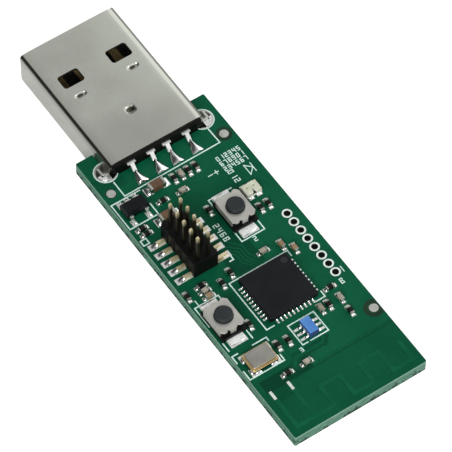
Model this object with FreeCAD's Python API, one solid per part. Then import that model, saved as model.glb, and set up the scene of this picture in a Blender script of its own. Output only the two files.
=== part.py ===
import FreeCAD, Part
import math
import os

# A bare radio stick: a small board with a plug at one end and a printed aerial at the other.
# Millimetres. X runs across the board, Y towards the plug's mouth, Z up from the plug's underside.
# Distances called "back" are measured from the board's plug-end edge towards the aerial.

# board
BOARD_WIDTH = 16.5
BOARD_LENGTH = 41.0
BOARD_THICK = 1.6
BOARD_TOP = 2.9
BOARD_CORNER = 0.4
PAD_THICK = 0.05
TRACE_THICK = 0.03

# flat sides that stand for a circle where small round outlines repeat
FEW_SIDES = 16
MORE_SIDES = 24

# plug
PLUG_REACH = 14.35
PLUG_WIDTH = 12.0
PLUG_HEIGHT = 4.5
SHEET = 0.3
SHEET_BEND = 0.5
SHELL_TAIL = 3.2
SEAM = 0.05
WINDOW_WIDTH = 2.6
WINDOW_LENGTH = 1.85
WINDOW_CORNER = 0.35
WINDOW_SPACING = 6.15
WINDOW_FROM_MOUTH = 4.7
DENT_FROM_MOUTH = 8.0
DENT_SPACING = 6.7
DENT_LENGTH = 1.3
DENT_WIDTH = 0.6
DENT_DEPTH = 0.12
DIMPLE_BACK = -1.75
DIMPLE_R = 0.55
NOTCH_CLEAR = 0.1
BLOCK_BACK = 3.55
BLOCK_FROM_MOUTH = 9.0
TONGUE_FROM_MOUTH = 0.4
TONGUE_TOP = 2.25
TONGUE_SIDE = 0.1
TONGUE_LEAD_IN = 0.4

# plug contacts
CONTACT_INNER = 1.0
CONTACT_OUTER = 3.5
CONTACT_WIDTH = 1.0
CONTACT_THICK = 0.2
OUTER_FROM_MOUTH = 1.6
INNER_FROM_MOUTH = 2.6
EXIT_TOP = 3.85
STEM_WIDTH = 0.45
STEM_BACK = 3.85
FOOT_BACK = 4.3
FOOT_END = 5.4
CONTACT_PAD_WIDTH = 1.3
CONTACT_PAD_START = 4.15
CONTACT_PAD_END = 6.1
MOUND_RISE = 0.45
MOUND_SIDE = 0.03
MOUND_END = 0.05
MOUND_START = 0.1
MOUND_WRAP = 0.08

# plug tabs in their plated holes
TAB_HOLE_OUT = 0.2
TAB_HOLE_BACK = 2.75
TAB_HOLE_R = 1.1
TAB_BARREL = 0.1
TAB_RING_R = 1.35
TAB_OUT = 0.6
TAB_LENGTH = 1.2
TAB_BELOW_TOP = 1.8
TAB_ABOVE_TOP = 0.35
TAB_SOLDER_LOW = 0.3
TAB_SOLDER_RISE = 0.2
TAB_SOLDER_CLEAR = 0.04

# row of plated holes
HOLE_COUNT = 8
HOLE_PITCH = 1.27
HOLE_R = 0.35
HOLE_WALL = 0.05
HOLE_RING_R = 0.575
HOLE_EDGE = 1.46
HOLE_FIRST_BACK = 17.89

# sighting discs
DISC_R = 0.52
DISC_LEFT = 1.05
DISC_RIGHT = 1.15
DISC_LOW = 0.75
DISC_LEFT_BACK = 5.35
DISC_RIGHT_BACK = 5.6
DISC_LOW_BACK = 32.65

# printed aerial
AERIAL_WIDTH = 0.5
AERIAL_LEG_X = -7.25
AERIAL_FEED_X = -5.05
AERIAL_PITCH = 2.46
AERIAL_TURNS = 5
AERIAL_START = 36.1
AERIAL_HIGH = 37.3
AERIAL_EDGE = 1.0
FEED_WIDTH = 0.3
FEED_GAP = 0.35
FEED_OUT = 0.75
FEED_SLANT = 0.7
FEED_RUN = 3.4
FEED_END = 0.6
AERIAL_PAD_WIDTH = 0.33
AERIAL_PAD_LENGTH = 1.1

# pin header
PIN_COLUMNS = 5
PIN_PITCH = 1.27
PIN_THICK = 0.4
PIN_RISE = 6.3
HEADER_X = -4.4
HEADER_BACK = 16.05
HEADER_WIDTH = 3.0
HEADER_HEIGHT = 2.5
HEADER_STAND = 0.15
HEADER_NOTCH = 0.15
PIN_FOOT_REACH = 2.5
HEADER_PAD_REACH = 3.4
HEADER_PAD_INNER = 1.25
HEADER_PAD_WIDTH = 0.8

# radio chip
CHIP_X = 0.55
CHIP_BACK = 25.25
CHIP_SIZE = 6.0
CHIP_HEIGHT = 0.85
CHIP_LEADS = 10
CHIP_PITCH = 0.5
CHIP_LEAD_WIDTH = 0.24
CHIP_LEAD_DEPTH = 0.4
CHIP_LEAD_THICK = 0.05
CHIP_PAD_OUT = 0.45

# regulator
REG_X = -6.3
REG_BACK = 8.5
REG_WIDTH = 2.8
REG_DEPTH = 1.6
REG_HEIGHT = 1.2
REG_STAND = 0.1
REG_DRAFT = 0.12
REG_PITCH = 0.95
REG_LEAD_WIDTH = 0.42
REG_LEAD_THICK = 0.15
REG_LEAD_OUT = 0.25
REG_FOOT_OUT = 0.7
REG_PAD_IN = 0.1
REG_PAD_OUT = 1.0
REG_PAD_WIDTH = 0.62

# balun
BALUN_X = 0.43
BALUN_BACK = 31.05
BALUN_WIDTH = 1.25
BALUN_LENGTH = 2.0
BALUN_HEIGHT = 0.9
BALUN_PITCH = 0.65
BALUN_TERMINAL = 0.3
BALUN_SKIN = 0.05
BALUN_PAD_OUT = 0.85

# crystal
CRYSTAL_X = -5.87
CRYSTAL_BACK = 31.2
CRYSTAL_WIDTH = 3.2
CRYSTAL_LENGTH = 2.45
CRYSTAL_BASE = 0.45
CRYSTAL_RIM = 0.1
CRYSTAL_LID = 0.22
CRYSTAL_RIM_INSET = 0.05
CRYSTAL_LID_INSET = 0.16
CRYSTAL_CORNER = 0.15
CRYSTAL_PAD_WIDTH = 1.2
CRYSTAL_PAD_LENGTH = 1.0
CRYSTAL_PAD_OUT = 0.22

# indicator light
LED_X = 5.3
LED_BACK = 13.35
LED_WIDTH = 1.9
LED_LENGTH = 1.5
LED_BASE = 0.2
LED_LENS = 0.4
LED_PITCH = 1.0
LED_TERMINAL_WIDTH = 0.65
LED_TERMINAL_OUT = 0.3
LED_SKIN = 0.04

# push switches
SWITCH_ONE_X = -6.47
SWITCH_ONE_BACK = 25.43
SWITCH_TWO_X = 2.25
SWITCH_TWO_BACK = 14.85
COVER_WIDTH = 3.0
COVER_LENGTH = 3.8
COVER_SHEET = 0.15
COVER_TOP = 1.45
COVER_CHAMFER = 0.35
COVER_SKIRT = 0.8
COVER_NOTCH_R = 0.17
COVER_NOTCH_X = 0.6
CLAW_WIDTH = 0.7
BASE_LEDGE = 0.2
BASE_STAND = 0.1
BUTTON_R = 1.0
BUTTON_TOP = 2.0
BUTTON_FLANGE = 0.25
BUTTON_FLANGE_HIGH = 0.2
BUTTON_TRAVEL = 0.25
BUTTON_CLEAR = 0.05
BUTTON_EDGE = 0.12
SWITCH_TERMINAL_WIDTH = 1.9
SWITCH_TERMINAL_OUT = 0.75
SWITCH_TERMINAL_THICK = 0.15
SWITCH_PAD_WIDTH = 2.1
SWITCH_PAD_OUT = 1.0

# two large capacitors: across the board
LARGE_LENGTH = 2.0
LARGE_WIDTH = 1.0
LARGE_HEIGHT = 0.8
LARGE_END = 0.38
LARGE_PAD_OUT = 0.5
LARGE_SOLDER_RISE = 0.56
LARGE_SPOTS = ((-2.75, 7.35), (-3.95, 11.25))

# small chip parts, all of one length and width
SMALL_LENGTH = 1.0
SMALL_WIDTH = 0.5
SMALL_END = 0.22
SMALL_PAD_OUT = 0.3
SMALL_PAD_EXTRA = 0.06
RESISTOR_HEIGHT = 0.35
CAPACITOR_HEIGHT = 0.5
RESISTORS_ACROSS = ((-7.0, 11.0), (-6.95, 11.8), (-3.2, 9.25), (-5.9, 20.4), (-4.5, 34.25), (5.15, 28.1))
RESISTORS_ALONG = (
    (-0.62, 7.5), (1.2, 7.5), (2.15, 7.5), (0.15, 13.0), (4.85, 15.75), (5.85, 15.75),
    (-7.85, 20.75), (-3.9, 21.4), (-2.45, 20.75), (-4.45, 27.15), (-3.45, 30.9), (-2.2, 31.0),
    (3.8, 29.75), (5.25, 31.6),
)
TAN_ACROSS = ((-5.9, 21.95),)
TAN_ALONG = ((4.0, 20.85), (4.9, 22.0))
PALE_ACROSS = ((-5.9, 21.18), (-0.75, 9.35), (1.95, 20.5), (-2.1, 34.25))
PALE_ALONG = ((0.3, 7.5), (2.85, 29.75), (5.3, 29.75))

EDGE_Y = (BOARD_LENGTH - PLUG_REACH) / 2.0
PAD_TOP = BOARD_TOP + PAD_THICK
BOARD_BOTTOM = BOARD_TOP - BOARD_THICK
NOTCH_BACK = BLOCK_BACK + NOTCH_CLEAR
HOLE_X = BOARD_WIDTH / 2.0 - HOLE_EDGE
TAB_HOLE_X = PLUG_WIDTH / 2.0 + TAB_HOLE_OUT
SIDES = (-1, 1)

pads = []
solder = []


def y_at(back):
    return EDGE_Y - back


def block(x0, x1, back0, back1, z0, z1):
    """A box between two X values, two distances back and two heights."""
    low = FreeCAD.Vector(min(x0, x1), y_at(max(back0, back1)), z0)
    return Part.makeBox(abs(x1 - x0), abs(back1 - back0), z1 - z0, low)


def centred(x, back, width, length, z0, z1):
    """A box centred at x and a distance back."""
    half = width / 2.0
    reach = length / 2.0
    return block(x - half, x + half, back - reach, back + reach, z0, z1)


def disc(x, back, radius, z0, z1):
    return Part.makeCylinder(radius, z1 - z0, FreeCAD.Vector(x, y_at(back), z0))


def fuse(shapes):
    whole = shapes[0]
    if len(shapes) > 1:
        whole = whole.multiFuse(shapes[1:])
    return whole.removeSplitter()


def together(shapes):
    return Part.makeCompound(shapes)


def regular(x, back, radius, z0, z1, sides):
    """An upright prism whose many flat sides stand for a round outline."""
    reach = radius / math.cos(math.pi / sides)
    corners = []
    for step in range(sides):
        angle = (step + 0.5) * 2.0 * math.pi / sides
        corners.append((x + reach * math.cos(angle), back + reach * math.sin(angle)))
    return plan_profile(corners, z0, z1)


def cut_corner_plate(x, back, width, length, z0, z1, cut):
    """A plate with its four corners cut off at 45 degrees."""
    hx = width / 2.0
    hb = length / 2.0
    outline = (
        (x - hx + cut, back - hb), (x + hx - cut, back - hb),
        (x + hx, back - hb + cut), (x + hx, back + hb - cut),
        (x + hx - cut, back + hb), (x - hx + cut, back + hb),
        (x - hx, back + hb - cut), (x - hx, back - hb + cut),
    )
    return plan_profile(outline, z0, z1)


def slab(x, back, width, length, z0, z1, corner):
    """A plate with four rounded upright corners."""
    plate = centred(x, back, width, length, z0, z1)
    upright = [e for e in plate.Edges if abs(e.Vertexes[0].Z - e.Vertexes[-1].Z) > (z1 - z0) / 2.0]
    return plate.makeFillet(corner, upright)


def side_profile(points, x0, x1):
    """An outline in distance back and height, drawn out from x0 to x1."""
    corners = [FreeCAD.Vector(x0, y_at(back), z) for back, z in points]
    corners.append(corners[0])
    return Part.Face(Part.makePolygon(corners)).extrude(FreeCAD.Vector(x1 - x0, 0, 0))


def front_profile(points, back0, back1):
    """An outline in X and height, drawn out between two distances back."""
    corners = [FreeCAD.Vector(x, y_at(back0), z) for x, z in points]
    corners.append(corners[0])
    return Part.Face(Part.makePolygon(corners)).extrude(FreeCAD.Vector(0, back0 - back1, 0))


def plan_profile(points, z0, z1):
    """An outline in X and distance back, raised from z0 to z1."""
    corners = [FreeCAD.Vector(x, y_at(back), z0) for x, back in points]
    corners.append(corners[0])
    return Part.Face(Part.makePolygon(corners)).extrude(FreeCAD.Vector(0, 0, z1 - z0))


def export(name, shape):
    os.makedirs("parts", exist_ok=True)
    shape.exportStep("parts/" + name + ".step")


def add_pad(x, back, width, length):
    pads.append(centred(x, back, width, length, BOARD_TOP, PAD_TOP))


def wedge_across(x, direction, reach, back, width, rise):
    """Solder that falls away from x along X."""
    ends = ((x, PAD_TOP), (x + direction * reach, PAD_TOP), (x, PAD_TOP + rise))
    solder.append(front_profile(ends, back - width / 2.0, back + width / 2.0))


def wedge_along(back, direction, reach, x, width, rise):
    """Solder that falls away along the board's length."""
    ends = ((back, PAD_TOP), (back + direction * reach, PAD_TOP), (back, PAD_TOP + rise))
    solder.append(side_profile(ends, x - width / 2.0, x + width / 2.0))


def board():
    middle = BOARD_LENGTH / 2.0
    plate = slab(0, middle, BOARD_WIDTH, BOARD_LENGTH, BOARD_BOTTOM, BOARD_TOP, BOARD_CORNER)
    half = PLUG_WIDTH / 2.0 + NOTCH_CLEAR
    cuts = [block(-half, half, -1, NOTCH_BACK, 0, BOARD_TOP + 1)]
    for side in SIDES:
        radius = TAB_HOLE_R + TAB_BARREL
        cuts.append(regular(side * TAB_HOLE_X, TAB_HOLE_BACK, radius, 0, BOARD_TOP + 1, MORE_SIDES))
    for step in range(HOLE_COUNT):
        back = HOLE_FIRST_BACK + step * HOLE_PITCH
        cuts.append(regular(HOLE_X, back, HOLE_R + HOLE_WALL, 0, BOARD_TOP + 1, FEW_SIDES))
    return plate.cut(cuts)


def eyelet(x, back, bore, wall, ring, sides):
    """A plated hole: a tube through the board with a flat ring on each face."""
    low = BOARD_BOTTOM - PAD_THICK
    inner = bore.BoundBox.XLength / 2.0
    tube = regular(x, back, inner + wall, low, PAD_TOP, sides)
    upper = regular(x, back, ring, BOARD_TOP, PAD_TOP, sides)
    lower = regular(x, back, ring, low, BOARD_BOTTOM, sides)
    return fuse([tube, upper, lower]).cut(bore)


def hole_barrels():
    rings = []
    for step in range(HOLE_COUNT):
        back = HOLE_FIRST_BACK + step * HOLE_PITCH
        bore = disc(HOLE_X, back, HOLE_R, 0, BOARD_TOP + 1)
        rings.append(eyelet(HOLE_X, back, bore, HOLE_WALL, HOLE_RING_R, FEW_SIDES))
    return together(rings)


def tab_barrels():
    half = PLUG_WIDTH / 2.0 + NOTCH_CLEAR
    notch = block(-half, half, -1, NOTCH_BACK, 0, BOARD_TOP + 1)
    halves = []
    for side in SIDES:
        x = side * TAB_HOLE_X
        bore = regular(x, TAB_HOLE_BACK, TAB_HOLE_R, 0, BOARD_TOP + 1, MORE_SIDES)
        ring = eyelet(x, TAB_HOLE_BACK, bore, TAB_BARREL, TAB_RING_R, MORE_SIDES)
        halves.append(ring.cut(notch))
    return together(halves)


def sleeve(inset, back0, back1):
    """The plug's outline drawn out, moved in by an inset."""
    width = PLUG_WIDTH - 2.0 * inset
    solid = block(-width / 2.0, width / 2.0, back0, back1, inset, PLUG_HEIGHT - inset)
    long_edges = [e for e in solid.Edges if abs(e.Vertexes[0].Y - e.Vertexes[-1].Y) > 1.0]
    return solid.makeFillet(SHEET_BEND - inset, long_edges)


def window(x, z0, z1):
    back = WINDOW_FROM_MOUTH + WINDOW_LENGTH / 2.0 - PLUG_REACH
    return slab(x, back, WINDOW_WIDTH, WINDOW_LENGTH, z0, z1, WINDOW_CORNER)


def tab(side):
    """A leg bent out of the rear of one side wall and down through its hole."""
    wall = PLUG_WIDTH / 2.0
    inner = wall + TAB_OUT
    outer = inner + SHEET
    low = BOARD_TOP - TAB_BELOW_TOP
    high = BOARD_TOP + TAB_ABOVE_TOP
    front = SHELL_TAIL - TAB_LENGTH
    bridge = block(side * (wall - SHEET), side * outer, SHELL_TAIL - SHEET, SHELL_TAIL, low, high)
    leg = block(side * inner, side * outer, front, SHELL_TAIL, low, high)
    return [bridge, leg]


def oval(x, back, width, length, z0, z1):
    """A plate whose two short ends are round."""
    radius = length / 2.0
    reach = width / 2.0 - radius
    return fuse([
        centred(x, back, 2.0 * reach, length, z0, z1),
        regular(x - reach, back, radius, z0, z1, FEW_SIDES),
        regular(x + reach, back, radius, z0, z1, FEW_SIDES),
    ])


def plug_shell():
    outer = sleeve(0, -PLUG_REACH, SHELL_TAIL)
    inner = sleeve(SHEET, -PLUG_REACH - 1, SHELL_TAIL + 1)
    shell = outer.cut(inner)
    dent_back = DENT_FROM_MOUTH - PLUG_REACH
    roof = PLUG_HEIGHT - SHEET
    extra = []
    cuts = [block(-SEAM / 2.0, SEAM / 2.0, -PLUG_REACH - 1, SHELL_TAIL + 1, -1, SHEET * 1.5)]
    for side in SIDES:
        x = side * WINDOW_SPACING / 2.0
        cuts.append(window(x, roof - SHEET, PLUG_HEIGHT + 1))
        cuts.append(window(x, -1, SHEET * 1.5))
        dent_x = side * DENT_SPACING / 2.0
        low = roof - DENT_DEPTH
        extra.append(oval(dent_x, dent_back, DENT_LENGTH + 0.2, DENT_WIDTH + 0.2, low, roof))
        high = PLUG_HEIGHT - DENT_DEPTH
        cuts.append(oval(dent_x, dent_back, DENT_LENGTH, DENT_WIDTH, high, PLUG_HEIGHT + 1))
        extra.extend(tab(side))
    low = PLUG_HEIGHT - DENT_DEPTH
    cuts.append(regular(0, DIMPLE_BACK, DIMPLE_R, low, PLUG_HEIGHT + 1, FEW_SIDES))
    return fuse([shell] + extra).cut(cuts)


def contact(x, from_mouth):
    """One flat strip: along the tongue, up inside the block, out and down to its pad."""
    half = CONTACT_WIDTH / 2.0
    start = from_mouth - PLUG_REACH
    rise_back = BLOCK_BACK - 1.5
    top = TONGUE_TOP + CONTACT_THICK
    exit_low = EXIT_TOP - CONTACT_THICK
    strip = block(x - half, x + half, start, rise_back, TONGUE_TOP, top)
    riser = block(x - half, x + half, rise_back - CONTACT_THICK, rise_back, TONGUE_TOP, EXIT_TOP)
    root_end = STEM_BACK - 0.05
    root = block(x - half, x + half, rise_back - CONTACT_THICK, root_end, exit_low, EXIT_TOP)
    slope = (
        (STEM_BACK - CONTACT_THICK, exit_low),
        (STEM_BACK - CONTACT_THICK, EXIT_TOP),
        (STEM_BACK, EXIT_TOP),
        (FOOT_BACK + CONTACT_THICK, PAD_TOP + CONTACT_THICK),
        (FOOT_END, PAD_TOP + CONTACT_THICK),
        (FOOT_END, PAD_TOP),
        (FOOT_BACK, PAD_TOP),
    )
    stem = side_profile(slope, x - STEM_WIDTH / 2.0, x + STEM_WIDTH / 2.0)
    return fuse([strip, riser, root, stem])


def contacts():
    return {
        "plug_contact_one": contact(-CONTACT_OUTER, OUTER_FROM_MOUTH),
        "plug_contact_two": contact(-CONTACT_INNER, INNER_FROM_MOUTH),
        "plug_contact_three": contact(CONTACT_INNER, INNER_FROM_MOUTH),
        "plug_contact_four": contact(CONTACT_OUTER, OUTER_FROM_MOUTH),
    }


def plug_insulator(strips):
    rear = sleeve(SHEET, BLOCK_FROM_MOUTH - PLUG_REACH, BLOCK_BACK)
    half = PLUG_WIDTH / 2.0 - SHEET - TONGUE_SIDE
    nose = TONGUE_FROM_MOUTH - PLUG_REACH
    block_back = BLOCK_FROM_MOUTH - PLUG_REACH
    outline = (
        (nose, SHEET),
        (nose, TONGUE_TOP - TONGUE_LEAD_IN),
        (nose + TONGUE_LEAD_IN, TONGUE_TOP),
        (block_back, TONGUE_TOP),
        (block_back, SHEET),
    )
    tongue = side_profile(outline, -half, half)
    keel = sleeve(SHEET, nose, block_back)
    solid = fuse([rear, tongue.common(keel)])
    return solid.cut(strips)


def contact_solder(strips):
    """A mound of solder over each contact's foot, sloping to the end of its pad."""
    mounds = []
    for x in (-CONTACT_OUTER, -CONTACT_INNER, CONTACT_INNER, CONTACT_OUTER):
        add_pad(x, (CONTACT_PAD_START + CONTACT_PAD_END) / 2.0,
                CONTACT_PAD_WIDTH, CONTACT_PAD_END - CONTACT_PAD_START)
        wide = CONTACT_PAD_WIDTH / 2.0 - MOUND_SIDE
        slim = STEM_WIDTH / 2.0 + MOUND_WRAP
        near = CONTACT_PAD_START + MOUND_START
        far = CONTACT_PAD_END - MOUND_END
        flare = (wide - slim) / (far - near)
        tip = slim * 0.8
        tip_near = near + 0.35
        tip_far = near + 0.8
        tip_wide = tip + flare * (tip_far - tip_near)
        foot = ((x - slim, near), (x + slim, near), (x + wide, far), (x - wide, far))
        crest = ((x - tip, tip_near), (x + tip, tip_near), (x + tip_wide, tip_far), (x - tip_wide, tip_far))
        wires = []
        for outline, z in ((foot, PAD_TOP), (crest, PAD_TOP + MOUND_RISE)):
            corners = [FreeCAD.Vector(px, y_at(back), z) for px, back in outline]
            wires.append(Part.makePolygon(corners + corners[:1]))
        mound = Part.makeLoft(wires, True, True)
        mounds.append(mound.cut(strips))
    return together(mounds)


def tab_solder(shell, insulator):
    """A fill of solder at the rear of each tab's hole."""
    fills = []
    for side in SIDES:
        low = BOARD_BOTTOM + TAB_SOLDER_LOW
        high = BOARD_TOP + TAB_SOLDER_RISE
        pool = regular(side * TAB_HOLE_X, TAB_HOLE_BACK, TAB_HOLE_R, low, high, MORE_SIDES)
        near = SHELL_TAIL - SHEET
        inner = PLUG_WIDTH / 2.0 + TAB_SOLDER_CLEAR
        outer = TAB_HOLE_X + TAB_HOLE_R
        keep = block(side * inner, side * outer, near, near + TAB_HOLE_R, low, high)
        fills.append(pool.common(keep).cut([shell, insulator]))
    return together(fills)


def sighting_discs():
    right = BOARD_WIDTH / 2.0
    spots = (
        (DISC_LEFT - right, DISC_LEFT_BACK),
        (right - DISC_RIGHT, DISC_RIGHT_BACK),
        (right - DISC_LOW, DISC_LOW_BACK),
    )
    return together([regular(x, back, DISC_R, BOARD_TOP, PAD_TOP, FEW_SIDES) for x, back in spots])


def ribbon(points, width):
    """A flat strip through a few points, square at its turns, on the board's upper face."""
    pieces = []
    half = width / 2.0
    last = len(points) - 2
    for step in range(last + 1):
        (x0, b0), (x1, b1) = points[step], points[step + 1]
        length = math.hypot(x1 - x0, b1 - b0)
        ux = (x1 - x0) / length * half
        ub = (b1 - b0) / length * half
        start = 1 if step > 0 else 0
        end = 1 if step < last else 0
        x0, b0 = x0 - start * ux, b0 - start * ub
        x1, b1 = x1 + end * ux, b1 + end * ub
        quad = ((x0 - ub, b0 + ux), (x1 - ub, b1 + ux), (x1 + ub, b1 - ux), (x0 + ub, b0 - ux))
        pieces.append(plan_profile(quad, BOARD_TOP, BOARD_TOP + TRACE_THICK))
    return fuse(pieces)


def aerial():
    """Two legs joined along the far edge, then square waves across, with the legs' pads left bare."""
    low = BOARD_LENGTH - AERIAL_EDGE
    x = AERIAL_FEED_X + AERIAL_PITCH
    path = [(AERIAL_LEG_X, AERIAL_START), (AERIAL_LEG_X, low), (x, low)]
    back = low
    for turn in range(AERIAL_TURNS):
        back = AERIAL_HIGH if back == low else low
        path.append((x, back))
        if turn < AERIAL_TURNS - 1:
            x += AERIAL_PITCH
            path.append((x, back))
    feed = ribbon([(AERIAL_FEED_X, AERIAL_START), (AERIAL_FEED_X, low)], AERIAL_WIDTH)
    bare = []
    for x in (AERIAL_LEG_X, AERIAL_FEED_X):
        add_pad(x, AERIAL_START - AERIAL_PAD_LENGTH / 2.0, AERIAL_PAD_WIDTH, AERIAL_PAD_LENGTH)
        bare.append(pads[-1])
    return fuse([ribbon(path, AERIAL_WIDTH), feed]).cut(bare)


def feed_line():
    """The covered strip from the balun to the two parts beside the aerial."""
    start = BALUN_BACK + BALUN_LENGTH / 2.0 + FEED_GAP
    x = BALUN_X + FEED_OUT
    bend = x - FEED_SLANT * 0.7
    run = bend - FEED_RUN
    low = start + FEED_SLANT
    path = [(x, start), (bend, low), (run, low), (run - FEED_END, low + FEED_END)]
    return ribbon(path, FEED_WIDTH)


def pin(side, back):
    """A bent square pin: a foot out along the board and a post through the body."""
    x = HEADER_X + side * PIN_PITCH / 2.0
    half = PIN_THICK / 2.0
    end = HEADER_X + side * PIN_FOOT_REACH
    foot = block(x - side * half, end, back - half, back + half, PAD_TOP, PAD_TOP + PIN_THICK)
    post = centred(x, back, PIN_THICK, PIN_THICK, PAD_TOP, BOARD_TOP + PIN_RISE)
    tip = [e for e in post.Edges if e.Vertexes[0].Z > BOARD_TOP + PIN_RISE - 0.01
           and e.Vertexes[-1].Z > BOARD_TOP + PIN_RISE - 0.01]
    return fuse([foot, post.makeChamfer(PIN_THICK * 0.25, tip)])


def header():
    first = HEADER_BACK - (PIN_COLUMNS - 1) * PIN_PITCH / 2.0
    rows = {-1: [], 1: []}
    for side in SIDES:
        for step in range(PIN_COLUMNS):
            back = first + step * PIN_PITCH
            rows[side].append(pin(side, back))
            inner = HEADER_X + side * HEADER_PAD_INNER
            outer = HEADER_X + side * HEADER_PAD_REACH
            add_pad((inner + outer) / 2.0, back, abs(outer - inner), HEADER_PAD_WIDTH)
            end = HEADER_X + side * PIN_FOOT_REACH
            reach = HEADER_PAD_REACH - PIN_FOOT_REACH - 0.05
            wedge_across(end, side, reach, back, HEADER_PAD_WIDTH - 0.1, PIN_THICK * 0.8)
    length = PIN_COLUMNS * PIN_PITCH
    low = BOARD_TOP + HEADER_STAND
    high = BOARD_TOP + HEADER_HEIGHT
    body = centred(HEADER_X, HEADER_BACK, HEADER_WIDTH, length, low, high)
    notches = []
    for step in range(1, PIN_COLUMNS):
        back = HEADER_BACK - length / 2.0 + step * PIN_PITCH
        for side in SIDES:
            edge = HEADER_X + side * HEADER_WIDTH / 2.0
            notch = (
                (edge - side * HEADER_NOTCH, back),
                (edge + side * HEADER_NOTCH, back - 2.0 * HEADER_NOTCH),
                (edge + side * HEADER_NOTCH, back + 2.0 * HEADER_NOTCH),
            )
            notches.append(plan_profile(notch, low, high))
    body = body.cut(rows[-1] + rows[1] + notches)
    return {
        "header_body": body,
        "header_pins_left": together(rows[-1]),
        "header_pins_right": together(rows[1]),
    }


def radio_chip():
    """A square flat chip that stands on ten small lands along each side."""
    half = CHIP_SIZE / 2.0
    high = PAD_TOP + CHIP_LEAD_THICK
    body = centred(CHIP_X, CHIP_BACK, CHIP_SIZE, CHIP_SIZE, high, PAD_TOP + CHIP_HEIGHT)
    leads = []
    pad_length = CHIP_LEAD_DEPTH + CHIP_PAD_OUT
    middle = half + (CHIP_PAD_OUT - CHIP_LEAD_DEPTH) / 2.0
    for step in range(CHIP_LEADS):
        along = (step - (CHIP_LEADS - 1) / 2.0) * CHIP_PITCH
        for side in SIDES:
            x = CHIP_X + side * (half - CHIP_LEAD_DEPTH / 2.0)
            back = CHIP_BACK + along
            leads.append(centred(x, back, CHIP_LEAD_DEPTH, CHIP_LEAD_WIDTH, PAD_TOP, high))
            add_pad(CHIP_X + side * middle, back, pad_length, CHIP_LEAD_WIDTH)
            x = CHIP_X + along
            back = CHIP_BACK + side * (half - CHIP_LEAD_DEPTH / 2.0)
            leads.append(centred(x, back, CHIP_LEAD_WIDTH, CHIP_LEAD_DEPTH, PAD_TOP, high))
            add_pad(x, CHIP_BACK + side * middle, CHIP_LEAD_WIDTH, pad_length)
    return {"radio_chip_body": body, "radio_chip_leads": together(leads)}


def gull_lead(x, side):
    """A bent lead that leaves the regulator at mid height and stands on its pad."""
    edge = REG_BACK + side * REG_DEPTH / 2.0
    high = PAD_TOP + REG_HEIGHT * 0.6
    start = edge - side * REG_DRAFT * 2.0
    knee = edge + side * REG_LEAD_OUT
    foot = edge + side * REG_FOOT_OUT
    thick = REG_LEAD_THICK
    outline = (
        (start, high - thick), (start, high), (knee, high),
        (knee + side * 0.08, PAD_TOP + thick), (foot, PAD_TOP + thick), (foot, PAD_TOP),
        (knee - side * thick, PAD_TOP), (knee - side * thick, high - thick),
    )
    return side_profile(outline, x - REG_LEAD_WIDTH / 2.0, x + REG_LEAD_WIDTH / 2.0)


def drafted(x, back, width, length, z0, z1, draft):
    """A moulded block whose four sides lean in above and below its middle."""
    middle = z0 + (z1 - z0) * 0.6
    halves = []
    for low, high, small_low in ((z0, middle, True), (middle, z1, False)):
        wires = []
        for z, inset in ((low, draft if small_low else 0), (high, 0 if small_low else draft)):
            hx = width / 2.0 - inset
            hb = length / 2.0 - inset
            ring = ((x - hx, back - hb), (x + hx, back - hb), (x + hx, back + hb), (x - hx, back + hb))
            corners = [FreeCAD.Vector(px, y_at(pb), z) for px, pb in ring]
            wires.append(Part.makePolygon(corners + corners[:1]))
        halves.append(Part.makeLoft(wires, True, True))
    return fuse(halves)


def regulator():
    """A five-lead part: two leads face the aerial, three face the plug."""
    leads = [gull_lead(REG_X + step * REG_PITCH, 1) for step in (-1, 1)]
    leads += [gull_lead(REG_X + step * REG_PITCH, -1) for step in (-1, 0, 1)]
    low = BOARD_TOP + REG_STAND
    body = drafted(REG_X, REG_BACK, REG_WIDTH, REG_DEPTH, low, PAD_TOP + REG_HEIGHT, REG_DRAFT)
    half = REG_DEPTH / 2.0
    middle = half + (REG_PAD_IN + REG_PAD_OUT) / 2.0
    for side, steps in ((1, (-1, 1)), (-1, (-1, 0, 1))):
        for step in steps:
            x = REG_X + step * REG_PITCH
            add_pad(x, REG_BACK + side * middle, REG_PAD_WIDTH, REG_PAD_OUT - REG_PAD_IN)
            start = REG_BACK + side * (half + REG_FOOT_OUT)
            reach = REG_PAD_OUT - REG_FOOT_OUT - 0.03
            wedge_along(start, side, reach, x, REG_PAD_WIDTH - 0.1, REG_LEAD_THICK)
    return {"regulator_body": body.cut(leads), "regulator_leads": together(leads)}


def balun():
    half = BALUN_WIDTH / 2.0 - BALUN_SKIN
    top = PAD_TOP + BALUN_HEIGHT
    body = centred(BALUN_X, BALUN_BACK, 2.0 * half, BALUN_LENGTH, PAD_TOP, top)
    skins = []
    for side in SIDES:
        for step in (-1, 0, 1):
            back = BALUN_BACK + step * BALUN_PITCH
            x = BALUN_X + side * (half + BALUN_SKIN / 2.0)
            skins.append(centred(x, back, BALUN_SKIN, BALUN_TERMINAL, PAD_TOP, PAD_TOP + BALUN_HEIGHT * 0.55))
            edge = BALUN_X + side * BALUN_WIDTH / 2.0
            inner = edge - side * 0.15
            outer = edge + side * BALUN_PAD_OUT
            add_pad((inner + outer) / 2.0, back, abs(outer - inner), BALUN_TERMINAL)
            wedge_across(edge, side, BALUN_PAD_OUT * 0.5, back, BALUN_TERMINAL - 0.04, 0.25)
    return {"balun_body": body, "balun_terminals": together(skins)}


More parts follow.
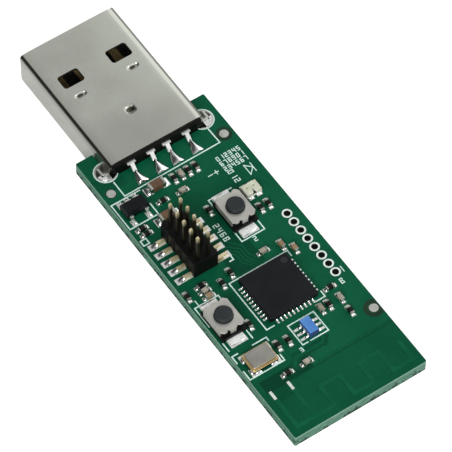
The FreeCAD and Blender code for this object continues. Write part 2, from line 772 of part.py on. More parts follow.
def crystal():
    z1 = PAD_TOP + CRYSTAL_BASE
    z2 = z1 + CRYSTAL_RIM
    z3 = z2 + CRYSTAL_LID
    wide = CRYSTAL_WIDTH
    long = CRYSTAL_LENGTH
    base = cut_corner_plate(CRYSTAL_X, CRYSTAL_BACK, wide, long, PAD_TOP, z1, CRYSTAL_CORNER)
    inset = 2.0 * CRYSTAL_RIM_INSET
    rim = cut_corner_plate(CRYSTAL_X, CRYSTAL_BACK, wide - inset, long - inset, z1, z2, CRYSTAL_CORNER)
    hole = inset + 0.9
    rim = rim.cut(centred(CRYSTAL_X, CRYSTAL_BACK, wide - hole, long - hole, z1, z2))
    inset = 2.0 * CRYSTAL_LID_INSET
    lid = cut_corner_plate(CRYSTAL_X, CRYSTAL_BACK, wide - inset, long - inset, z2, z3, CRYSTAL_CORNER)
    for sx in SIDES:
        for sb in SIDES:
            x = CRYSTAL_X + sx * (CRYSTAL_WIDTH / 2.0 + CRYSTAL_PAD_OUT - CRYSTAL_PAD_WIDTH / 2.0)
            back = CRYSTAL_BACK + sb * (CRYSTAL_LENGTH / 2.0 + CRYSTAL_PAD_OUT - CRYSTAL_PAD_LENGTH / 2.0)
            add_pad(x, back, CRYSTAL_PAD_WIDTH, CRYSTAL_PAD_LENGTH)
            edge = CRYSTAL_X + sx * CRYSTAL_WIDTH / 2.0
            wedge_across(edge, sx, CRYSTAL_PAD_OUT - 0.03, back - sb * 0.15, 0.55, 0.25)
            edge = CRYSTAL_BACK + sb * CRYSTAL_LENGTH / 2.0
            wedge_along(edge, sb, CRYSTAL_PAD_OUT - 0.03, x - sx * 0.25, 0.65, 0.25)
    return {"crystal_base": base, "crystal_rim": rim, "crystal_lid": lid}


def indicator():
    z1 = PAD_TOP + LED_BASE
    base = centred(LED_X, LED_BACK, LED_WIDTH, LED_LENGTH, PAD_TOP, z1)
    lens = centred(LED_X, LED_BACK, LED_WIDTH, LED_LENGTH - 0.1, z1, z1 + LED_LENS)
    skins = []
    half = LED_LENGTH / 2.0
    for side in SIDES:
        for step in SIDES:
            x = LED_X + step * LED_PITCH / 2.0
            back = LED_BACK + side * (half + LED_SKIN / 2.0)
            skins.append(centred(x, back, LED_TERMINAL_WIDTH, LED_SKIN, PAD_TOP, z1))
            middle = LED_BACK + side * (half + LED_TERMINAL_OUT / 2.0 - 0.1)
            add_pad(x, middle, LED_TERMINAL_WIDTH, LED_TERMINAL_OUT + 0.2)
            start = LED_BACK + side * (half + LED_SKIN)
            reach = LED_TERMINAL_OUT - LED_SKIN - 0.02
            wedge_along(start, side, reach, x, LED_TERMINAL_WIDTH - 0.08, LED_BASE)
    return {"led_base": base, "led_lens": lens, "led_terminals": together(skins)}


def switch(name, x, back):
    """A low push switch: base, sheet cover, end terminals and a round button."""
    roof = BOARD_TOP + COVER_TOP
    ceiling = roof - COVER_SHEET
    ledge = roof - COVER_SKIRT
    low = BOARD_TOP + BASE_STAND
    half = COVER_WIDTH / 2.0
    reach = COVER_LENGTH / 2.0
    flange_r = BUTTON_R + BUTTON_FLANGE
    flange_low = ceiling - BUTTON_FLANGE_HIGH
    floor = flange_low - BUTTON_TRAVEL - 0.1

    lower = centred(x, back, COVER_WIDTH, COVER_LENGTH + 2.0 * BASE_LEDGE, low, ledge)
    inside = COVER_WIDTH - 2.0 * COVER_SHEET
    upper = centred(x, back, inside, COVER_LENGTH - 2.0 * COVER_SHEET, ledge, ceiling)
    well = disc(x, back, flange_r + BUTTON_CLEAR, floor, ceiling)
    base = fuse([lower, upper]).cut(well)

    cut = COVER_CHAMFER
    pieces = [cut_corner_plate(x, back, COVER_WIDTH, COVER_LENGTH, ceiling, roof, cut)]
    for side in SIDES:
        edge = x + side * half
        skirt = reach - cut
        pieces.append(block(edge, edge - side * COVER_SHEET, back - skirt, back + skirt, ledge, roof))
        end = back + side * reach
        claw = CLAW_WIDTH / 2.0
        pieces.append(block(x - claw, x + claw, end, end - side * COVER_SHEET, ledge, roof))
    holes = [disc(x, back, BUTTON_R + BUTTON_CLEAR, ceiling - 1, roof + 1)]
    for sx in SIDES:
        for sb in SIDES:
            notch_x = x + sx * COVER_NOTCH_X
            notch_back = back + sb * reach
            holes.append(regular(notch_x, notch_back, COVER_NOTCH_R, ceiling, roof, FEW_SIDES))
    cover = fuse(pieces).cut(holes)

    stem = disc(x, back, BUTTON_R, flange_low, BOARD_TOP + BUTTON_TOP)
    rim = [e for e in stem.Edges if e.BoundBox.ZMin > BOARD_TOP + BUTTON_TOP - 0.01]
    stem = stem.makeChamfer(BUTTON_EDGE, rim)
    button = fuse([stem, disc(x, back, flange_r, flange_low, ceiling)])

    terminals = []
    base_end = reach + BASE_LEDGE
    for side in SIDES:
        outer = back + side * (base_end + SWITCH_TERMINAL_OUT)
        wide = SWITCH_TERMINAL_WIDTH / 2.0
        plate = block(x - wide, x + wide, back + side * (base_end - 0.4), outer,
                      PAD_TOP, PAD_TOP + SWITCH_TERMINAL_THICK)
        terminals.append(plate)
        pad_in = base_end - 0.3
        pad_out = base_end + SWITCH_PAD_OUT
        add_pad(x, back + side * (pad_in + pad_out) / 2.0, SWITCH_PAD_WIDTH, pad_out - pad_in)
        spill = SWITCH_PAD_OUT - SWITCH_TERMINAL_OUT - 0.03
        wedge_along(outer, side, spill, x, SWITCH_TERMINAL_WIDTH, SWITCH_TERMINAL_THICK)
    return {
        name + "_base": base.cut(terminals),
        name + "_cover": cover,
        name + "_terminals": together(terminals),
        name + "_button": button,
    }


def chip_part(x, back, across, sizes):
    """One chip part as a body and two metal ends, with its pads and solder."""
    length, width, height, end, pad_out, extra, rise = sizes
    top = PAD_TOP + height
    core = length - 2.0 * end
    offset = (length - end) / 2.0
    ends = []
    if across:
        body = centred(x, back, core, width, PAD_TOP, top)
    else:
        body = centred(x, back, width, core, PAD_TOP, top)
    for side in SIDES:
        inner = length / 2.0 - end
        outer = length / 2.0 + pad_out
        middle = side * (inner + outer) / 2.0
        reach = pad_out - 0.03
        if across:
            ends.append(centred(x + side * offset, back, end, width, PAD_TOP, top))
            add_pad(x + middle, back, outer - inner, width + extra)
            if rise > 0:
                wedge_across(x + side * length / 2.0, side, reach, back, width, rise)
        else:
            ends.append(centred(x, back + side * offset, width, end, PAD_TOP, top))
            add_pad(x, back + middle, width + extra, outer - inner)
            if rise > 0:
                wedge_along(back + side * length / 2.0, side, reach, x, width, rise)
    return body, ends


def chip_group(spots_across, spots_along, sizes):
    bodies = []
    ends = []
    for spots, across in ((spots_across, True), (spots_along, False)):
        for x, back in spots:
            body, pair = chip_part(x, back, across, sizes)
            bodies.append(body)
            ends.extend(pair)
    return together(bodies), together(ends)


def chip_parts():
    small = (SMALL_LENGTH, SMALL_WIDTH, RESISTOR_HEIGHT, SMALL_END, SMALL_PAD_OUT, SMALL_PAD_EXTRA, 0)
    taller = (SMALL_LENGTH, SMALL_WIDTH, CAPACITOR_HEIGHT, SMALL_END, SMALL_PAD_OUT, SMALL_PAD_EXTRA, 0)
    large = (LARGE_LENGTH, LARGE_WIDTH, LARGE_HEIGHT, LARGE_END, LARGE_PAD_OUT, 0.1, LARGE_SOLDER_RISE)
    groups = (
        ("resistor", RESISTORS_ACROSS, RESISTORS_ALONG, small),
        ("tan_capacitor", TAN_ACROSS, TAN_ALONG, taller),
        ("pale_capacitor", PALE_ACROSS, PALE_ALONG, taller),
        ("large_capacitor", LARGE_SPOTS, (), large),
    )
    made = {}
    for name, across, along, sizes in groups:
        bodies, ends = chip_group(across, along, sizes)
        made[name + "_bodies"] = bodies
        made[name + "_ends"] = ends
    return made


def main():
    parts = {"circuit_board": board(), "hole_barrels": hole_barrels(), "tab_barrels": tab_barrels()}
    shell = plug_shell()
    strips = contacts()
    insulator = plug_insulator(list(strips.values()))
    parts["plug_shell"] = shell
    parts["plug_insulator"] = insulator
    parts.update(strips)
    parts["contact_solder"] = contact_solder(list(strips.values()))
    parts["tab_solder"] = tab_solder(shell, insulator)
    parts["sighting_discs"] = sighting_discs()
    parts["aerial_trace"] = together([aerial(), feed_line()])
    parts.update(header())
    parts.update(radio_chip())
    parts.update(regulator())
    parts.update(balun())
    parts.update(crystal())
    parts.update(indicator())
    parts.update(switch("switch_one", SWITCH_ONE_X, SWITCH_ONE_BACK))
    parts.update(switch("switch_two", SWITCH_TWO_X, SWITCH_TWO_BACK))
    parts.update(chip_parts())
    parts["component_pads"] = together(pads)
    parts["component_solder"] = together(solder)
    for name, shape in parts.items():
        export(name, shape)


main()
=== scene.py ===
import math

import bmesh
import bpy
from mathutils import Matrix, Vector


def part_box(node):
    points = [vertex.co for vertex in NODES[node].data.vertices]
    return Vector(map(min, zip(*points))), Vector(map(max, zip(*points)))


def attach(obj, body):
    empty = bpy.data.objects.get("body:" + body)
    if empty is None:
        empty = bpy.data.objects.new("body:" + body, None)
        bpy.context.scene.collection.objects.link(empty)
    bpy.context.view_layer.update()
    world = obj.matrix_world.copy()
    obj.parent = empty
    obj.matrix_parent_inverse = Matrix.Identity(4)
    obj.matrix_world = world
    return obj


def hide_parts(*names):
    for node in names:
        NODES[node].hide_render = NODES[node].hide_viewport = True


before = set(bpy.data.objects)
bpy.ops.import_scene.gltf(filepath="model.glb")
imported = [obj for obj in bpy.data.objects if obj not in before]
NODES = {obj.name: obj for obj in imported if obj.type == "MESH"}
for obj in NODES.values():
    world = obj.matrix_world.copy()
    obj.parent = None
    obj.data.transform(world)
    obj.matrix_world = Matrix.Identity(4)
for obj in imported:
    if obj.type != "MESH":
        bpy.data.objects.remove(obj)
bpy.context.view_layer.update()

# A bare radio stick, seen from above its aerial end. Shapes are made in millimetres and stored in metres.
MM = 0.001


def box_of(node):
    """A node's lowest and highest corners, in millimetres."""
    low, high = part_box(node)
    return Vector(low) / MM, Vector(high) / MM


BOARD_LOW, BOARD_HIGH = box_of("circuit_board")
BOARD_TOP = BOARD_HIGH.z
EDGE_Y = BOARD_HIGH.y
PAD_TOP = box_of("component_pads")[1].z
PLUG_LOW, PLUG_HIGH = box_of("plug_shell")
MOUTH_Y = PLUG_HIGH.y
PLUG_TAIL_BACK = EDGE_Y - PLUG_LOW.y

# the board's corners as packed and as shown
BOARD_CORNER = 0.4
TIGHT_CORNER = 0.16

# print above the board's face
INK = 0.012
INK_WIDTH = 0.145
NUMERAL_WIDTH = 0.11
SIDES = (-1, 1)

# the plug's sheet
PLUG_WIDTH = 12.0
SHEET = 0.3
BEND = 0.35
BEND_STEPS = 8
ARCH_FROM = 4.6
ARCH_DROP = 0.06
SEAM = 0.05
WINDOW_X = 3.075
WINDOW_Y = MOUTH_Y - 5.625
WINDOW_WIDTH = 2.6
WINDOW_LENGTH = 1.85
WINDOW_CORNER = 0.35
DENT_X = 3.35
DENT_Y = MOUTH_Y - 8.0
DENT_LENGTH = 1.42
DENT_WIDTH = 0.68
DENT_DEPTH = 0.18
DIMPLE_Y = EDGE_Y + 1.75
DIMPLE_R = 0.6
DIMPLE_DEPTH = 0.27

# painted shade in the stamped hollows: X, Y, and half their size across and along
SHADED_HOLLOWS = (
    (-DENT_X - 0.05, DENT_Y + 0.03, 0.5, 0.22),
    (DENT_X - 0.05, DENT_Y + 0.03, 0.5, 0.22),
    (0.02, DIMPLE_Y + 0.06, 0.62, 0.4),
)

# the legs that hold the plug
LEG_X = 6.75
LEG_FRONT = 2.0
LEG_LOW = BOARD_TOP - 1.8
LEG_HIGH = BOARD_TOP + 0.35

# the four contacts
CONTACTS = (-3.5, -1.0, 1.0, 3.5)
MOUND_NEAR = 4.2
MOUND_FAR = 6.05
MOUND_RISE = 0.55
MOUND_SLIM = 0.2
MOUND_WIDE = 0.68
# a mound's rise and end as shares of its length, then how much it sinks, waves, leans and hollows
MOUND_CLIMB = 0.12
MOUND_END = 0.1
MOUND_SINK = 0.62
MOUND_WAVE = 0.08
MOUND_LEAN = 0.25
MOUND_HOLLOW = 0.45
MOUND_FILM = 0.012

# the row of eight holes
HOLES = 8
HOLE_PITCH = 1.27
HOLE_X = 6.79
HOLE_FIRST_BACK = 17.89
HOLE_R = 0.35
HOLE_WALL = 0.05
HOLE_RING_R = 0.575
HOLE_LENGTH = 1.7

# the longest pad of a small chip part or a land
SMALL_PAD = 0.75

# the header
HEADER_X = -4.4
HEADER_BACK = 16.05
PIN_PITCH = 1.27
PIN_ROWS = 5
PIN_THICK = 0.4
PIN_REACH = 2.5
PIN_HIGH = BOARD_TOP + 6.3
# the share of a pin's thickness that shows, its rounding, knee and tip, and the inner feet's extra reach
PIN_SHARE = 0.88
PIN_EDGE = 0.06
PIN_KNEE = 0.35
PIN_TIP = 0.16
LONG_FEET = 0.55
RIGHT_FEET_X = -1.8
RIGHT_FEET_FAR = 19.3

# sighting discs, as X and distance back, with the radius that the mask leaves bare
DISCS = ((-7.2, 5.35, 0.62), (7.1, 5.6, 0.92), (7.5, 32.65, 1.12))
DISC_R = 0.52


def y_at(back):
    """The place along the stick of a point that far back from the board's plug-end edge."""
    return EDGE_Y - back


def paint(red, green, blue):
    """A colour as it is seen, 0 to 255 a channel, as Blender's linear numbers."""
    def channel(value):
        share = value / 255.0
        if share <= 0.04045:
            return share / 12.92
        return ((share + 0.055) / 1.055) ** 2.4
    return (channel(red), channel(green), channel(blue), 1.0)


# Nodes

def set_inputs(tree, node, values):
    """Inputs by name or place: a socket is linked and anything else is set."""
    for key, value in values.items():
        if hasattr(value, "is_output"):
            tree.links.new(value, node.inputs[key])
        else:
            node.inputs[key].default_value = value


def add_node(tree, kind, values=None, **settings):
    """A node with its settings, and with its inputs set or linked by name or place."""
    node = tree.nodes.new(kind)
    for label, value in settings.items():
        setattr(node, label, value)
    set_inputs(tree, node, values or {})
    return node


def add_math(tree, kind, *values, clamp=False):
    """A math node on sockets or numbers."""
    node = add_node(tree, "ShaderNodeMath", dict(enumerate(values)), operation=kind, use_clamp=clamp)
    return node.outputs[0]


def add_noise(tree, vector, scale, detail=3.0, roughness=0.5):
    values = {"Vector": vector, "Scale": scale, "Detail": detail, "Roughness": roughness}
    return add_node(tree, "ShaderNodeTexNoise", values).outputs[0]


def add_mix(tree, share, first, second):
    """A colour mix of two sockets or colours by a share."""
    return add_node(tree, "ShaderNodeMix", {0: share, 6: first, 7: second}, data_type="RGBA").outputs[2]


def add_ramp(tree, value, low, high, start=0.0, end=1.0):
    """A value carried smoothly from one range to another."""
    values = {0: value, 1: low, 2: high, 3: start, 4: end}
    return add_node(tree, "ShaderNodeMapRange", values, interpolation_type="SMOOTHSTEP").outputs[0]


def new_group(name, inputs, outputs):
    """An empty shader group: inputs as (name, kind, default), outputs as (name, kind)."""
    group = bpy.data.node_groups.new(name, "ShaderNodeTree")
    for label, kind, value in inputs:
        socket = group.interface.new_socket(label, in_out="INPUT", socket_type=kind)
        socket.default_value = value
    for label, kind in outputs:
        group.interface.new_socket(label, in_out="OUTPUT", socket_type=kind)
    return group, group.nodes.new("NodeGroupInput").outputs, group.nodes.new("NodeGroupOutput").inputs


def use_group(tree, group, values=None):
    """A group in a tree, with values or links for its named inputs."""
    node = tree.nodes.new("ShaderNodeGroup")
    node.node_tree = group
    set_inputs(tree, node, values or {})
    return node.outputs


def place_group():
    """Object coordinates in millimetres."""
    group, _, out = new_group("place in millimetres", [], [("Place", "NodeSocketVector")])
    coords = add_node(group, "ShaderNodeTexCoord").outputs["Object"]
    values = {0: coords, "Scale": 1.0 / MM}
    group.links.new(add_node(group, "ShaderNodeVectorMath", values, operation="SCALE").outputs[0], out[0])
    return group


def mottle_group():
    """Uneven tone: a soft cloud with a finer grain in it, and the grain alone as a height."""
    sockets = [
        ("Place", "NodeSocketVector", (0.0, 0.0, 0.0)),
        ("Cloud Scale", "NodeSocketFloat", 0.4),
        ("Grain Scale", "NodeSocketFloat", 6.0),
        ("Grain Share", "NodeSocketFloat", 0.3),
    ]
    results = [("Tone", "NodeSocketFloat"), ("Height", "NodeSocketFloat")]
    group, given, out = new_group("mottle", sockets, results)
    cloud = add_noise(group, given["Place"], given["Cloud Scale"], 2.0)
    grain = add_noise(group, given["Place"], given["Grain Scale"], 4.0, 0.6)
    fine = add_math(group, "MULTIPLY", grain, given["Grain Share"])
    rest = add_math(group, "SUBTRACT", 1.0, given["Grain Share"])
    tone = add_math(group, "MULTIPLY_ADD", cloud, rest, fine)
    group.links.new(add_ramp(group, tone, 0.3, 0.7), out["Tone"])
    group.links.new(grain, out["Height"])
    return group


def scratch_group():
    """Fine straight marks that run along the stick, broken into short lengths."""
    sockets = [
        ("Place", "NodeSocketVector", (0.0, 0.0, 0.0)),
        ("Across", "NodeSocketFloat", 14.0),
        ("Along", "NodeSocketFloat", 0.6),
        ("Amount", "NodeSocketFloat", 0.5),
    ]
    group, given, out = new_group("scratches", sockets, [("Mask", "NodeSocketFloat")])
    parts = add_node(group, "ShaderNodeSeparateXYZ", {0: given["Place"]}).outputs
    across = add_math(group, "MULTIPLY", parts["X"], given["Across"])
    along = add_math(group, "MULTIPLY", parts["Y"], given["Along"])
    high = add_math(group, "MULTIPLY", parts["Z"], given["Across"])
    drawn = add_node(group, "ShaderNodeCombineXYZ", {0: across, 1: along, 2: high}).outputs[0]
    marks = add_ramp(group, add_noise(group, drawn, 1.0, 2.0, 0.7), 0.58, 0.72)
    patches = add_ramp(group, add_noise(group, given["Place"], 0.5, 2.0), 0.42, 0.62)
    both = add_math(group, "MULTIPLY", marks, patches)
    group.links.new(add_math(group, "MULTIPLY", both, given["Amount"], clamp=True), out["Mask"])
    return group


def level_group():
    """How level a face lies: 1 on upper and lower faces, 0 on upright ones."""
    group, _, out = new_group("level faces", [], [("Mask", "NodeSocketFloat")])
    normal = add_node(group, "ShaderNodeNewGeometry").outputs["Normal"]
    upright = add_node(group, "ShaderNodeSeparateXYZ", {0: normal}).outputs["Z"]
    group.links.new(add_ramp(group, add_math(group, "ABSOLUTE", upright), 0.5, 0.85), out[0])
    return group


PLACE = place_group()
MOTTLE = mottle_group()
SCRATCHES = scratch_group()
LEVEL = level_group()


# Materials

def new_material(name):
    """A material with its node tree and its shader."""
    material = bpy.data.materials.new(name)
    material.use_nodes = True
    tree = material.node_tree
    return material, tree, tree.nodes["Principled BSDF"]


def add_bump(tree, shader, height, strength, depth=0.02):
    """A height, in millimetres of depth, into the shader's normal."""
    values = {"Height": height, "Strength": strength, "Distance": depth * MM}
    tree.links.new(add_node(tree, "ShaderNodeBump", values).outputs[0], shader.inputs["Normal"])


def start_finish(name, cloud, grain, share=0.3):
    """A new material with its place in millimetres, that place in parts, and its mottle."""
    material, tree, shader = new_material(name)
    place = use_group(tree, PLACE)[0]
    parts = add_node(tree, "ShaderNodeSeparateXYZ", {0: place}).outputs
    values = {"Place": place, "Cloud Scale": cloud, "Grain Scale": grain, "Grain Share": share}
    return material, tree, shader, place, parts, use_group(tree, MOTTLE, values)


def two_tones(tree, mottle, dark, light):
    """A mottle between two colours, given as they are seen."""
    return add_mix(tree, mottle["Tone"], paint(*dark), paint(*light))


def finish_of(name, dark, light, metallic=0.0, rough=0.4, rough_spread=0.12, bump=0.1, cloud=0.4, grain=8.0,
              specular=0.5, scratches=0.0, sides=None):
    """A finish that varies between two colours, with grain in its gloss and its surface. Upright faces may
    have a pair of colours of their own."""
    material, tree, shader = new_material(name)
    place = use_group(tree, PLACE)[0]
    mottle = use_group(tree, MOTTLE, {"Place": place, "Cloud Scale": cloud, "Grain Scale": grain})
    colour = add_mix(tree, mottle["Tone"], dark, light)
    if sides:
        upright = add_mix(tree, mottle["Tone"], *sides)
        colour = add_mix(tree, use_group(tree, LEVEL)[0], upright, colour)
    least = rough - rough_spread / 2.0
    gloss = add_math(tree, "MULTIPLY_ADD", mottle["Tone"], rough_spread, least, clamp=True)
    if scratches:
        mask = use_group(tree, SCRATCHES, {"Place": place, "Amount": scratches})[0]
        worn = tuple(min(1.0, part * 1.25) for part in light[:3]) + (1.0,)
        colour = add_mix(tree, mask, colour, worn)
        gloss = add_math(tree, "MULTIPLY_ADD", mask, 0.15, gloss, clamp=True)
    tree.links.new(colour, shader.inputs["Base Color"])
    tree.links.new(gloss, shader.inputs["Roughness"])
    shader.inputs["Metallic"].default_value = metallic
    shader.inputs["Specular IOR Level"].default_value = specular
    add_bump(tree, shader, mottle["Height"], bump)
    return material


def steel_finish():
    """Soft rolled steel with fine scratches, painted lighter towards the right and on its side walls, with a
    painted highlight by the right-hand bend, and painted shade towards the rear end, down both upper bends and
    in its stamped hollows.
    """
    material, tree, shader, place, parts, mottle = start_finish("plug steel", 0.22, 2.4, 0.35)
    colour = two_tones(tree, mottle, (187, 189, 180), (197, 200, 190))
    # painted light: the sheet grows lighter towards its right-hand side
    colour = add_mix(tree, add_ramp(tree, parts["X"], -1.0, 5.5, 0.0, 0.45), colour, paint(222, 226, 214))
    # painted shade: the sheet grows darker towards its rear end
    colour = add_mix(tree, add_ramp(tree, parts["Y"], EDGE_Y + 4.0, EDGE_Y - 1.5, 0.0, 0.35), colour,
                     paint(150, 151, 144))
    # a painted highlight: a bright band just inside the right-hand upper bend
    bend_highlight = add_math(
        tree, "MULTIPLY", add_ramp(tree, parts["X"], 5.05, 5.35), add_ramp(tree, parts["X"], 5.68, 5.58))
    colour = add_mix(tree, add_math(tree, "MULTIPLY", bend_highlight, 0.5), colour, paint(250, 252, 240))
    # painted light: the side walls lighter below the upper bends
    wall_light = add_ramp(tree, parts["Z"], PLUG_HIGH.z - 0.8, PLUG_HIGH.z - 1.6, 0.0, 0.5)
    colour = add_mix(tree, wall_light, colour, paint(228, 227, 222))
    mask = use_group(tree, SCRATCHES, {"Place": place, "Amount": 0.12})[0]
    colour = add_mix(tree, mask, colour, paint(214, 216, 208))
    # painted shade: a dark line down both upper bends, a little weaker on the right
    aside = add_math(tree, "ABSOLUTE", parts["X"])
    outer = add_ramp(tree, aside, PLUG_WIDTH / 2.0 - 0.38, PLUG_WIDTH / 2.0 - 0.24)
    upper = add_ramp(tree, parts["Z"], PLUG_HIGH.z - 0.5, PLUG_HIGH.z - 0.34)
    bend_shade = add_math(tree, "MULTIPLY", outer, upper)
    most = add_ramp(tree, parts["X"], -1.0, 1.0, 0.85, 0.8)
    colour = add_mix(tree, add_math(tree, "MULTIPLY", bend_shade, most), colour, paint(62, 63, 60))
    # painted shade in the stamped hollows, on the roof only
    above = add_ramp(tree, parts["Z"], PLUG_HIGH.z - 0.5, PLUG_HIGH.z - 0.4)
    for x, y, across, along in SHADED_HOLLOWS:
        dx = add_math(tree, "MULTIPLY_ADD", parts["X"], 1.0 / across, -x / across)
        dy = add_math(tree, "MULTIPLY_ADD", parts["Y"], 1.0 / along, -y / along)
        square = add_math(tree, "MULTIPLY_ADD", dx, dx, add_math(tree, "MULTIPLY", dy, dy))
        darkened = add_math(tree, "MULTIPLY", add_ramp(tree, square, 1.0, 0.35), above)
        colour = add_mix(tree, add_math(tree, "MULTIPLY", darkened, 0.92), colour, paint(56, 54, 42))
    tree.links.new(colour, shader.inputs["Base Color"])
    tree.links.new(add_math(tree, "MULTIPLY_ADD", mottle["Tone"], 0.06, 0.29), shader.inputs["Roughness"])
    shader.inputs["Metallic"].default_value = 1.0
    add_bump(tree, shader, mottle["Height"], 0.02)
    return material


# where there is no copper under the mask: left and right in X, near and far distance back, and how dark
NO_COPPER = (
    (-7.6, -1.7, 33.5, 35.1, 0.75),
    (-1.7, 8.3, 34.88, 35.15, 0.4),
    (-7.0, -5.3, 34.9, 36.6, 0.35),
    (-2.2, 1.6, 16.6, 21.4, 0.6),
    (-8.3, -4.9, 3.0, 5.2, 0.3),
)


def soft_box(tree, parts, left, right, near, far):
    """A mask over part of the board's face, soft at its sides."""
    blur = 0.12
    sides = (
        add_ramp(tree, parts["X"], left - blur, left + blur),
        add_ramp(tree, parts["X"], right - blur, right + blur, 1.0, 0.0),
        add_ramp(tree, parts["Y"], y_at(far) - blur, y_at(far) + blur),
        add_ramp(tree, parts["Y"], y_at(near) - blur, y_at(near) + blur, 1.0, 0.0))
    across = add_math(tree, "MULTIPLY", sides[0], sides[1])
    along = add_math(tree, "MULTIPLY", sides[2], sides[3])
    return add_math(tree, "MULTIPLY", across, along)


def board_finish():
    """Green mask over copper above and below, and pale cut laminate with fibre streaks at the edges."""
    material, tree, shader = new_material("green board")
    place = use_group(tree, PLACE)[0]
    parts = add_node(tree, "ShaderNodeSeparateXYZ", {0: place}).outputs
    broad = use_group(tree, MOTTLE, {"Place": place, "Cloud Scale": 0.16, "Grain Scale": 2.2})
    mask = add_mix(tree, broad["Tone"], paint(4, 72, 48), paint(11, 84, 57))
    # the ground copper ends short of the aerial, and the mask lies darker where there is none
    bare = add_ramp(tree, parts["Y"], y_at(35.0), y_at(34.8), 0.3, 0.0)
    mask = add_mix(tree, bare, mask, paint(3, 66, 43))
    for left, right, near, far, share in NO_COPPER:
        zone = soft_box(tree, parts, left, right, near, far)
        mask = add_mix(tree, add_math(tree, "MULTIPLY", zone, share), mask, paint(2, 50, 33))
    stretch = add_node(tree, "ShaderNodeMapping", {0: place, "Scale": (1.0, 1.0, 7.0)}).outputs[0]
    streaks = use_group(
        tree, MOTTLE, {"Place": stretch, "Cloud Scale": 0.8, "Grain Scale": 3.5, "Grain Share": 0.6})
    cut = add_mix(tree, streaks["Tone"], paint(66, 104, 86), paint(112, 152, 132))
    above = add_ramp(tree, parts["Z"], BOARD_TOP - 0.4, BOARD_TOP - 0.1)
    cut = add_mix(tree, add_math(tree, "MULTIPLY", above, 0.4), cut, paint(160, 196, 178))
    torn = add_ramp(tree, add_noise(tree, place, 1.1, 4.0, 0.75), 0.36, 0.7)
    low = add_math(tree, "MULTIPLY_ADD", torn, 1.25, BOARD_LOW.z - 0.3)
    shade = add_ramp(tree, add_math(tree, "SUBTRACT", parts["Z"], low), 0.0, 0.2, 1.0, 0.0)
    cut = add_mix(tree, add_math(tree, "MULTIPLY", shade, 0.9), cut, paint(34, 50, 40))
    face = use_group(tree, LEVEL)[0]
    tree.links.new(add_mix(tree, face, cut, mask), shader.inputs["Base Color"])
    tree.links.new(add_math(tree, "MULTIPLY_ADD", face, -0.38, 0.7), shader.inputs["Roughness"])
    shader.inputs["Specular IOR Level"].default_value = 0.06
    add_bump(tree, shader, broad["Height"], 0.1, 0.03)
    return material


def pad_finish():
    """Bright tinned pads, duller and yellower under the header's inner row."""
    material, tree, shader, _, parts, mottle = start_finish("tinned pad", 1.2, 8.0)
    bright = two_tones(tree, mottle, (206, 216, 208), (238, 243, 236))
    darkened = two_tones(tree, mottle, (112, 108, 80), (178, 172, 140))
    inner = soft_box(tree, parts, RIGHT_FEET_X - 1.4, RIGHT_FEET_X + 0.45, 12.8, RIGHT_FEET_FAR)
    set_inputs(tree, shader, {
        "Base Color": add_mix(tree, add_math(tree, "MULTIPLY", inner, 0.85), bright, darkened),
        "Roughness": add_math(tree, "MULTIPLY_ADD", mottle["Tone"], 0.16, 0.19),
        "Metallic": 0.6,
    })
    add_bump(tree, shader, mottle["Height"], 0.12)
    return material


def ring_finish():
    """Bright plating on the ring, and painted shade down in the hole, where the upright faces are near black.
    """
    material, tree, shader, _, _, mottle = start_finish("hole ring", 1.4, 8.0)
    bright = two_tones(tree, mottle, (206, 222, 214), (236, 244, 240))
    # painted shade: the upright faces down in the hole are near black
    darkened = two_tones(tree, mottle, (8, 10, 9), (20, 24, 20))
    face = use_group(tree, LEVEL)[0]
    set_inputs(tree, shader, {
        "Base Color": add_mix(tree, face, darkened, bright),
        "Roughness": add_math(tree, "MULTIPLY_ADD", mottle["Tone"], 0.12, 0.34),
        "Metallic": add_math(tree, "MULTIPLY", face, 0.3),
        "Specular IOR Level": 0.3,
    })
    add_bump(tree, shader, mottle["Height"], 0.12)
    return material


def contact_finish():
    """Dull gold brown inside the plug and bright tin on the feet that come out behind it."""
    material, tree, shader, _, parts, mottle = start_finish("contact metal", 0.8, 6.0)
    tin = two_tones(tree, mottle, (224, 226, 222), (246, 247, 244))
    brown = two_tones(tree, mottle, (104, 88, 58), (140, 120, 82))
    inside = add_ramp(tree, parts["Y"], y_at(3.4), y_at(2.2))
    set_inputs(tree, shader, {
        "Base Color": add_mix(tree, inside, tin, brown),
        "Roughness": add_math(tree, "MULTIPLY_ADD", mottle["Tone"], 0.12, 0.18),
        "Metallic": 0.5,
    })
    add_bump(tree, shader, mottle["Height"], 0.06)
    return material


GOLD = (paint(196, 172, 122), paint(218, 196, 148))


def crystal_finish():
    """Black ceramic below, plated in gold where the lid is sealed on."""
    material, tree, shader, _, parts, mottle = start_finish("crystal black", 0.4, 8.0)
    black = two_tones(tree, mottle, (6, 6, 6), (18, 17, 16))
    gold = add_mix(tree, mottle["Tone"], *GOLD)
    seal = box_of("crystal_base")[1].z
    plated = add_ramp(tree, parts["Z"], seal - 0.15, seal - 0.09)
    set_inputs(tree, shader, {
        "Base Color": add_mix(tree, plated, black, gold),
        "Roughness": add_math(tree, "MULTIPLY_ADD", plated, -0.2, 0.5),
        "Metallic": add_math(tree, "MULTIPLY", plated, 0.7),
        "Specular IOR Level": 0.15,
    })
    add_bump(tree, shader, mottle["Height"], 0.06)
    return material


